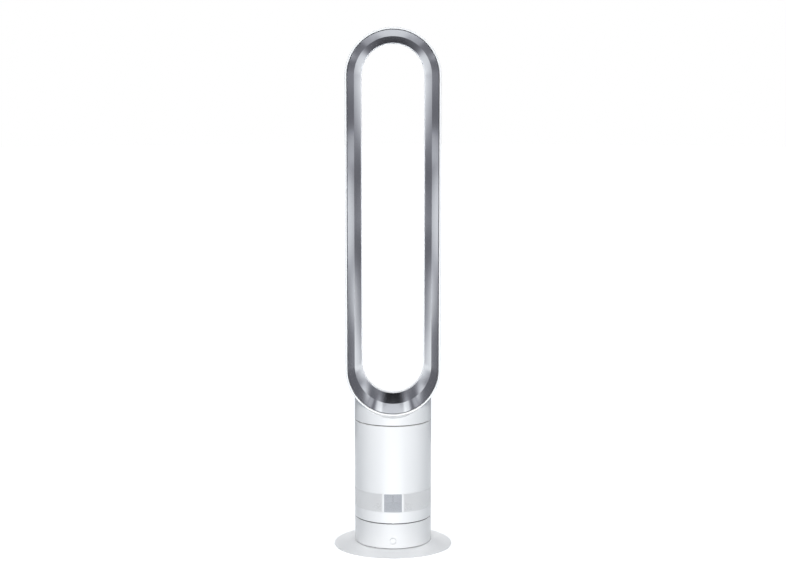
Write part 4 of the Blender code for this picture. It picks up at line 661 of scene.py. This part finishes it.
# ---------------------------------------------------------------- body
def make_casing():
    """The body's wall, set back behind the intake screens, with windows between the pillars there."""
    foot_inner = BODY_RADIUS - CASING_FOOT_WALL
    inner = BODY_RADIUS - CASING_WALL
    recess = BODY_RADIUS - SHEET_THICKNESS - TOUCH
    recess_inner = recess - RECESS_WALL
    low, high = grille_low.z - TOUCH, grille_high.z + TOUCH
    ledge_low = turntable_high.z + TOUCH
    ledge_top = socket_low.z - TOUCH
    casing = revolve("body_shell", eased([
        (BODY_RADIUS, casing_high.z - SEAM_RELIEF, EDGE_EASE),
        (inner, casing_high.z - SEAM_RELIEF),
        (inner, ledge_top),
        (inner - CASING_FOOT_WALL, ledge_top),
        (inner - CASING_FOOT_WALL, ledge_top - TOUCH),
        (inner, ledge_top - CASING_FOOT_WALL),
        (inner, high + 2 * RECESS_WALL),
        (recess_inner, high + RECESS_WALL),
        (recess_inner, low - RECESS_WALL),
        (inner, low - 2 * RECESS_WALL),
        (inner, ledge_low + LEDGE_HEIGHT),
        (foot_inner - LEDGE_WIDTH, ledge_low + LEDGE_HEIGHT),
        (foot_inner - LEDGE_WIDTH, ledge_low),
        (foot_inner, ledge_low),
        (foot_inner, casing_low.z + SEAM_RELIEF),
        (BODY_RADIUS, casing_low.z + SEAM_RELIEF, EDGE_EASE),
        (BODY_RADIUS, low),
        (recess, low),
        (recess, high),
        (BODY_RADIUS, high),
    ]))
    pillars = [PILLAR_START + PILLAR_SPACING * step for step in range(PILLARS_A_SIDE)]
    pillars += [360 - angle for angle in reversed(pillars)]
    windows = []
    for left, right in zip(pillars, pillars[1:] + [pillars[0] + 360]):
        windows.append(wedge(
            recess_inner - RECESS_WALL, BODY_RADIUS + RECESS_WALL, low + RECESS_WALL, high - RECESS_WALL,
            FRONT_ANGLE + left + PILLAR_HALF_ANGLE, FRONT_ANGLE + right - PILLAR_HALF_ANGLE,
        ))
    combine(casing, windows)
    dress(casing, WHITE, "swivel", "white_shell", "body_casing")


def hole_cell(corners, pitch):
    """Turns and reaches of points on the rim of a hole's six-sided cell, its six corners among them."""
    sixth = math.pi / 3
    points = []
    for corner in range(corners):
        turn = sixth / 2 + 2 * math.pi * corner / corners
        off_middle = (turn + sixth / 2) % sixth - sixth / 2
        points.append((turn, pitch / 2 / math.cos(off_middle)))
    return points


def perforated(name, first, last, hole, corners, finish):
    """A curved sheet between two angles, with round holes on a staggered pitch."""
    radius = BODY_RADIUS
    low, high = grille_low.z, grille_high.z
    inset = math.degrees(SHEET_GAP / radius)
    start = math.radians(first + inset)
    width = math.radians(last - first - 2 * inset) * radius
    across = round(width / HOLE_PITCH)
    pitch = width / across
    side = pitch / math.sqrt(3)
    rise = 1.5 * side
    rows = int((high - low - 2 * side) / rise) + 1
    margin = (high - low - (rows - 1) * rise) / 2
    cell = hole_cell(corners, pitch)
    shape = bmesh.new()

    def face(*places):
        """A face through places given by their way along the sheet and their height."""
        points = []
        for along, height in places:
            angle = start + along / radius
            points.append(shape.verts.new((radius * math.cos(angle), radius * math.sin(angle), height)))
        shape.faces.new(points)

    def round_hole(centre, height):
        """The cell's faces round one hole."""
        outer = [(centre + reach * math.cos(turn), height + reach * math.sin(turn)) for turn, reach in cell]
        inner = [(centre + hole * math.cos(turn), height + hole * math.sin(turn)) for turn, reach in cell]
        for corner in range(corners):
            following = (corner + 1) % corners
            face(outer[corner], outer[following], inner[following], inner[corner])

    def close_edge(centre, height, edge, sign):
        """The two faces between a cell of the first or last row and the sheet's edge."""
        for half in (-pitch / 2, pitch / 2):
            tip = (centre, height + sign * side)
            shoulder = (centre + half, height + sign * side / 2)
            face(tip, shoulder, (centre + half, edge), (centre, edge))

    for row in range(rows):
        height = low + margin + row * rise
        shifted = row % 2
        for column in range(across - shifted):
            centre = (column + 0.5 + 0.5 * shifted) * pitch
            round_hole(centre, height)
            if row == 0:
                close_edge(centre, height, low, -1)
            if row == rows - 1:
                close_edge(centre, height, high, 1)
        if shifted:
            low_tip, low_shoulder = height - side, height - side / 2
            high_shoulder, high_tip = height + side / 2, height + side
            for end, near in ((0, pitch / 2), (width, width - pitch / 2)):
                face((end, low_tip), (near, low_shoulder), (near, high_shoulder), (end, high_tip))
    bmesh.ops.remove_doubles(shape, verts=shape.verts, dist=SAME_HOLE_POINT)
    bmesh.ops.recalc_face_normals(shape, faces=shape.faces)
    outward = sum(part.normal.dot(part.calc_center_median() * Vector((1, 1, 0))) for part in shape.faces)
    if outward < 0:
        bmesh.ops.reverse_faces(shape, faces=shape.faces)
    sheet = solid(name, shape)
    thick = sheet.modifiers.new("thickness", "SOLIDIFY")
    thick.thickness = SHEET_THICKNESS
    thick.offset = -1
    combine(sheet, [])
    dress(sheet, finish, "swivel", "intake_grey")
    return sheet


def make_intake():
    """The grey panel in front, the two white screens round the sides, and the plain strips between them."""
    first, last = FRONT_ANGLE - PANEL_HALF_ANGLE, FRONT_ANGLE + PANEL_HALF_ANGLE
    front = perforated("intake_panel", first, last, FRONT_HOLE, ROUND_HOLE_CORNERS, MESH_GREY)
    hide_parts("intake_grille")
    for name, side in (("intake_screen_right", 1), ("intake_screen_left", -1)):
        first, last = sorted((FRONT_ANGLE + side * STRIP_HALF_ANGLE, FRONT_ANGLE + side * 180))
        perforated(name, first, last, SIDE_HOLE, PLAIN_HOLE_CORNERS, MESH_WHITE)
    inner = BODY_RADIUS - SHEET_THICKNESS
    for name, side in (("intake_strip_right", 1), ("intake_strip_left", -1)):
        edges = (FRONT_ANGLE + side * PANEL_HALF_ANGLE, FRONT_ANGLE + side * STRIP_HALF_ANGLE)
        first, last = sorted(edges)
        strip = wedge(inner, BODY_RADIUS, grille_low.z, grille_high.z, first, last)
        strip.name = name
        dress(strip, WHITE, "swivel", "white_shell")


# ---------------------------------------------------------------- loop
def saddle(x, drop):
    """Height of the loop's underside above x, lowered by a drop."""
    reach = LOOP_RADIUS + TOUCH + drop
    return LOOP_LOW_CENTRE - math.sqrt(reach**2 - x**2)


def duct_reach(across, along):
    """How far the duct's rectangular opening reaches from the axis in a direction."""
    reaches = []
    if across:
        reaches.append(DUCT_HALF_WIDTH / abs(across))
    if along:
        reaches.append((DUCT_REAR if along > 0 else DUCT_FRONT) / abs(along))
    return min(reaches)


def make_collar():
    """The drum that carries the loop.

    Its rim follows the loop's underside, over a roof with the duct in it.
    """
    inner = BODY_RADIUS - HOUSING_WALL
    outer = BODY_RADIUS - EDGE_EASE
    low = collar_low.z + SEAM_RELIEF
    rings = []
    for side in range(ROUND_SIDES):
        angle = 2 * math.pi * side / ROUND_SIDES
        across, along = math.cos(angle), math.sin(angle)
        duct = duct_reach(across, along)
        section = [
            (inner, low),
            (outer, low),
            (BODY_RADIUS, low + EDGE_EASE),
            (BODY_RADIUS, saddle(BODY_RADIUS * across, 0) - EDGE_EASE),
        ]
        for start, end, drop in ((outer, duct, 0), (duct, inner, LOOP_WALL)):
            for step in range(ROOF_STEPS + 1):
                radius = start + (end - start) * step / ROOF_STEPS
                section.append((radius, saddle(radius * across, drop)))
        rings.append([(r * across, r * along, z) for r, z in section])
    collar = skin("collar_shell", rings)
    dress(collar, WHITE, "loop", "white_shell", "loop_collar")


def make_loop_shell():
    """The white outer wall: from the front rim round the nose at the back to the thin lip by the throat."""
    nose_y = LOOP_BACK_Y - NOSE_DEPTH
    middle = (LOOP_RADIUS + LIP_RADIUS) / 2
    half = (LOOP_RADIUS - LIP_RADIUS) / 2
    outside, inside = [], []
    for step in range(NOSE_STEPS + 1):
        turn = math.pi * step / NOSE_STEPS
        wall = LOOP_WALL + (LIP_WALL - LOOP_WALL) * step / NOSE_STEPS
        outside.append((middle + half * math.cos(turn), nose_y + NOSE_DEPTH * math.sin(turn)))
        within, depth = half - wall, NOSE_DEPTH - wall
        inside.append((middle + within * math.cos(turn), nose_y + depth * math.sin(turn)))
    tip_y = LOOP_FRONT_Y + THROAT_DEPTH - LIP_OVERLAP
    tip_ease = LIP_WALL / 3
    bead_inner = LOOP_RADIUS - RIM_WIDTH
    corners = [
        (bead_inner, LOOP_FRONT_Y, EDGE_EASE),
        (LOOP_RADIUS, LOOP_FRONT_Y, RIM_CHAMFER),
        *outside,
        (LIP_RADIUS, tip_y, tip_ease),
        (LIP_RADIUS + LIP_WALL, tip_y, tip_ease),
        *reversed(inside),
        (LOOP_RADIUS - LOOP_WALL, LOOP_FRONT_Y + RIM_BEAD + RIM_CHAMFER),
        (bead_inner, LOOP_FRONT_Y + RIM_BEAD),
    ]
    shell = round_loop("loop_body", eased(corners, SHELL_CORNER_STEPS))
    top = saddle(DUCT_HALF_WIDTH, 0) + 3 * LOOP_WALL
    duct = box_between((-DUCT_HALF_WIDTH, -DUCT_FRONT, collar_low.z), (DUCT_HALF_WIDTH, DUCT_REAR, top))
    combine(shell, [duct])
    dress(shell, WHITE, "loop", "white_shell", "loop_shell")


def make_nozzle():
    """The silver inner wall: an outer band, a crease, and the inner band down to the throat.

    Support points close to each bend keep the flat bands evenly lit.
    """
    front = Vector((NOZZLE_RADIUS - NOZZLE_GAP, LOOP_FRONT_Y + TOUCH))
    crease = Vector((CREASE_RADIUS, LOOP_FRONT_Y + CREASE_DEPTH))
    throat_y = LOOP_FRONT_Y + THROAT_DEPTH
    throat = Vector((THROAT_RADIUS, throat_y))
    outer_way = (crease - front).normalized()
    inner_way = (throat - crease).normalized()
    visible = [
        (*front, EDGE_EASE),
        tuple(front + outer_way * BEND_SUPPORT),
        tuple(crease - outer_way * CREASE_EASE),
        tuple(crease),
        tuple(crease + inner_way * CREASE_EASE),
        tuple(throat - inner_way * BEND_SUPPORT),
    ]
    curl_middle = THROAT_RADIUS + NOZZLE_CURL
    inner_curl = NOZZLE_CURL - NOZZLE_TIP_WALL
    hidden = []
    for step in range(CURL_STEPS + 1):
        turn = math.pi / 2 * step / CURL_STEPS
        visible.append((curl_middle - NOZZLE_CURL * math.cos(turn), throat_y + NOZZLE_CURL * math.sin(turn)))
        hidden.insert(0, (curl_middle - inner_curl * math.cos(turn), throat_y + inner_curl * math.sin(turn)))
    slope = (front.x - crease.x) / (crease.y - front.y)
    hidden += [(CREASE_RADIUS + NOZZLE_WALL, crease.y), (front.x, front.y + NOZZLE_WALL / slope)]
    nozzle = round_loop("silver_nozzle", eased(visible + hidden))
    dress(nozzle, SILVER, "loop", "silver_coat", "loop_nozzle")


def finish_inner_pieces():
    """The pieces that keep their CAD shape get the finish of their slot."""
    for node in frame["nodes"].values():
        for slot in node.material_slots:
            if slot.material:
                slot.material = FINISHES[slot.material.name.split(".")[0]]


# ---------------------------------------------------------------- studio
def bright_rays(nodes, links):
    """1 for camera, glossy and transmission rays, and 0 for the rest."""
    path = nodes.new("ShaderNodeLightPath")
    total = path.outputs["Is Camera Ray"]
    for kind in ("Is Glossy Ray", "Is Transmission Ray"):
        total = maths(nodes, links, "MAXIMUM", total, path.outputs[kind])
    return total


def make_world():
    """Soft light from all round, and plain white for what the camera and the reflections see."""
    world = bpy.data.worlds.new("studio")
    bpy.context.scene.world = world
    world.use_nodes = True
    nodes, links = world.node_tree.nodes, world.node_tree.links
    background = nodes["Background"]
    soft = tuple(SKY_LIGHT * channel for channel in SKY_TINT)
    links.new(mixed(nodes, links, bright_rays(nodes, links), soft, (1, 1, 1)), background.inputs["Color"])


def make_floor():
    """A white floor; a brighter wedge in front of the fan gives the body its broad highlight."""
    shape = bmesh.new()
    bmesh.ops.create_circle(shape, cap_ends=True, segments=FLOOR_SIDES, radius=FLOOR_RADIUS)
    floor = solid("studio_floor", shape)
    made, nodes, links = new_material("studio_floor_white")
    shader = nodes["Principled BSDF"]
    shader.inputs["Base Color"].default_value = (*FLOOR_COLOUR, 1)
    shader.inputs["Roughness"].default_value = 0.9
    shader.inputs["Specular IOR Level"].default_value = 0.0
    shader.inputs["Emission Color"].default_value = (1, 1, 1, 1)
    split = nodes.new("ShaderNodeSeparateXYZ")
    links.new(nodes.new("ShaderNodeTexCoord").outputs["Object"], split.inputs[0])
    side = maths(nodes, links, "ABSOLUTE", split.outputs["X"])
    limit = maths(nodes, links, "MULTIPLY", split.outputs["Y"], -STRIP_SLOPE)
    inside = nodes.new("ShaderNodeMapRange")
    inside.inputs["From Min"].default_value = -STRIP_SOFTNESS
    inside.inputs["From Max"].default_value = STRIP_SOFTNESS
    inside.inputs["To Min"].default_value = FLOOR_GLOW
    inside.inputs["To Max"].default_value = FLOOR_GLOW + STRIP_GLOW
    links.new(maths(nodes, links, "SUBTRACT", limit, side), inside.inputs["Value"])
    glow = maths(nodes, links, "MULTIPLY", bright_rays(nodes, links), inside.outputs["Result"])
    links.new(glow, shader.inputs["Emission Strength"])
    floor.data.materials.append(made)


def make_reflection_card():
    """A studio card behind the loop, seen only in the silver: a dark field with soft light patches."""
    shape = bmesh.new()
    upright = Matrix.Rotation(math.pi / 2, 4, "X")
    stretch = Matrix.Diagonal((CARD_WIDTH, CARD_HEIGHT, 1, 1))
    at = Matrix.Translation((0, CARD_Y, CARD_MIDDLE_Z)) @ upright @ stretch
    bmesh.ops.create_grid(shape, x_segments=1, y_segments=1, size=0.5, matrix=at)
    card = solid("reflection_card", shape)
    made, nodes, links = new_material("reflection_card_tones")
    for node in list(nodes):
        nodes.remove(node)
    split = nodes.new("ShaderNodeSeparateXYZ")
    links.new(nodes.new("ShaderNodeTexCoord").outputs["Object"], split.inputs[0])
    side = maths(nodes, links, "ABSOLUTE", split.outputs["X"])
    level = CARD_TONE
    for x, z, half_width, half_height, strength in CARD_PATCHES:
        away = 0.0
        for place, middle, half in ((side, x, half_width), (split.outputs["Z"], z, half_height)):
            shifted = maths(nodes, links, "SUBTRACT", place, middle)
            shares = maths(nodes, links, "ABSOLUTE", maths(nodes, links, "DIVIDE", shifted, half))
            away = maths(nodes, links, "ADD", away, maths(nodes, links, "POWER", shares, 2))
        fading = maths(nodes, links, "ADD", 1, maths(nodes, links, "POWER", away, CARD_FALLOFF))
        level = maths(nodes, links, "ADD", level, maths(nodes, links, "DIVIDE", strength, fading))
    glow = nodes.new("ShaderNodeEmission")
    links.new(level, glow.inputs["Strength"])
    links.new(mixed(nodes, links, level, CARD_SHADE, CARD_LIGHT), glow.inputs["Color"])
    out = nodes.new("ShaderNodeOutputMaterial")
    links.new(glow.outputs[0], out.inputs["Surface"])
    card.data.materials.append(made)
    for kind in ("camera", "diffuse", "shadow", "transmission", "volume_scatter"):
        setattr(card, f"visible_{kind}", False)


def make_light(name, elevation, turn, angle, strength):
    """A broad, even light at an elevation, turned round the fan from the front."""
    lamp = bpy.data.lights.new(name, "SUN")
    lamp.angle = math.radians(angle)
    lamp.energy = strength
    light = bpy.data.objects.new(name, lamp)
    bpy.context.scene.collection.objects.link(light)
    light.rotation_euler = (math.radians(90 - elevation), 0, math.radians(turn))
    light.visible_glossy = False


def make_camera():
    """The camera in front of the fan, looking slightly down."""
    lens = bpy.data.cameras.new("camera")
    lens.lens = CAMERA_LENS
    lens.sensor_width = SENSOR_WIDTH
    camera = bpy.data.objects.new("camera", lens)
    camera.location = (0, -CAMERA_DISTANCE, CAMERA_HEIGHT)
    camera.rotation_euler = (math.radians(90 - CAMERA_TILT), 0, 0)
    bpy.context.scene.collection.objects.link(camera)
    bpy.context.scene.camera = camera
    bpy.context.scene.view_settings.view_transform = "Standard"


make_camera()
make_world()
make_light("key", KEY_ELEVATION, 0, KEY_ANGLE, KEY_STRENGTH)
make_light("back_right", BACK_ELEVATION, 180 - BACK_TURN, BACK_ANGLE, BACK_STRENGTH)
make_light("back_left", BACK_ELEVATION, 180 + BACK_TURN, BACK_ANGLE, BACK_STRENGTH)
make_floor()
make_reflection_card()
finish_inner_pieces()
make_foot()
make_base_housing()
make_button()
make_gland()
make_casing()
make_intake()
make_collar()
make_loop_shell()
make_nozzle()
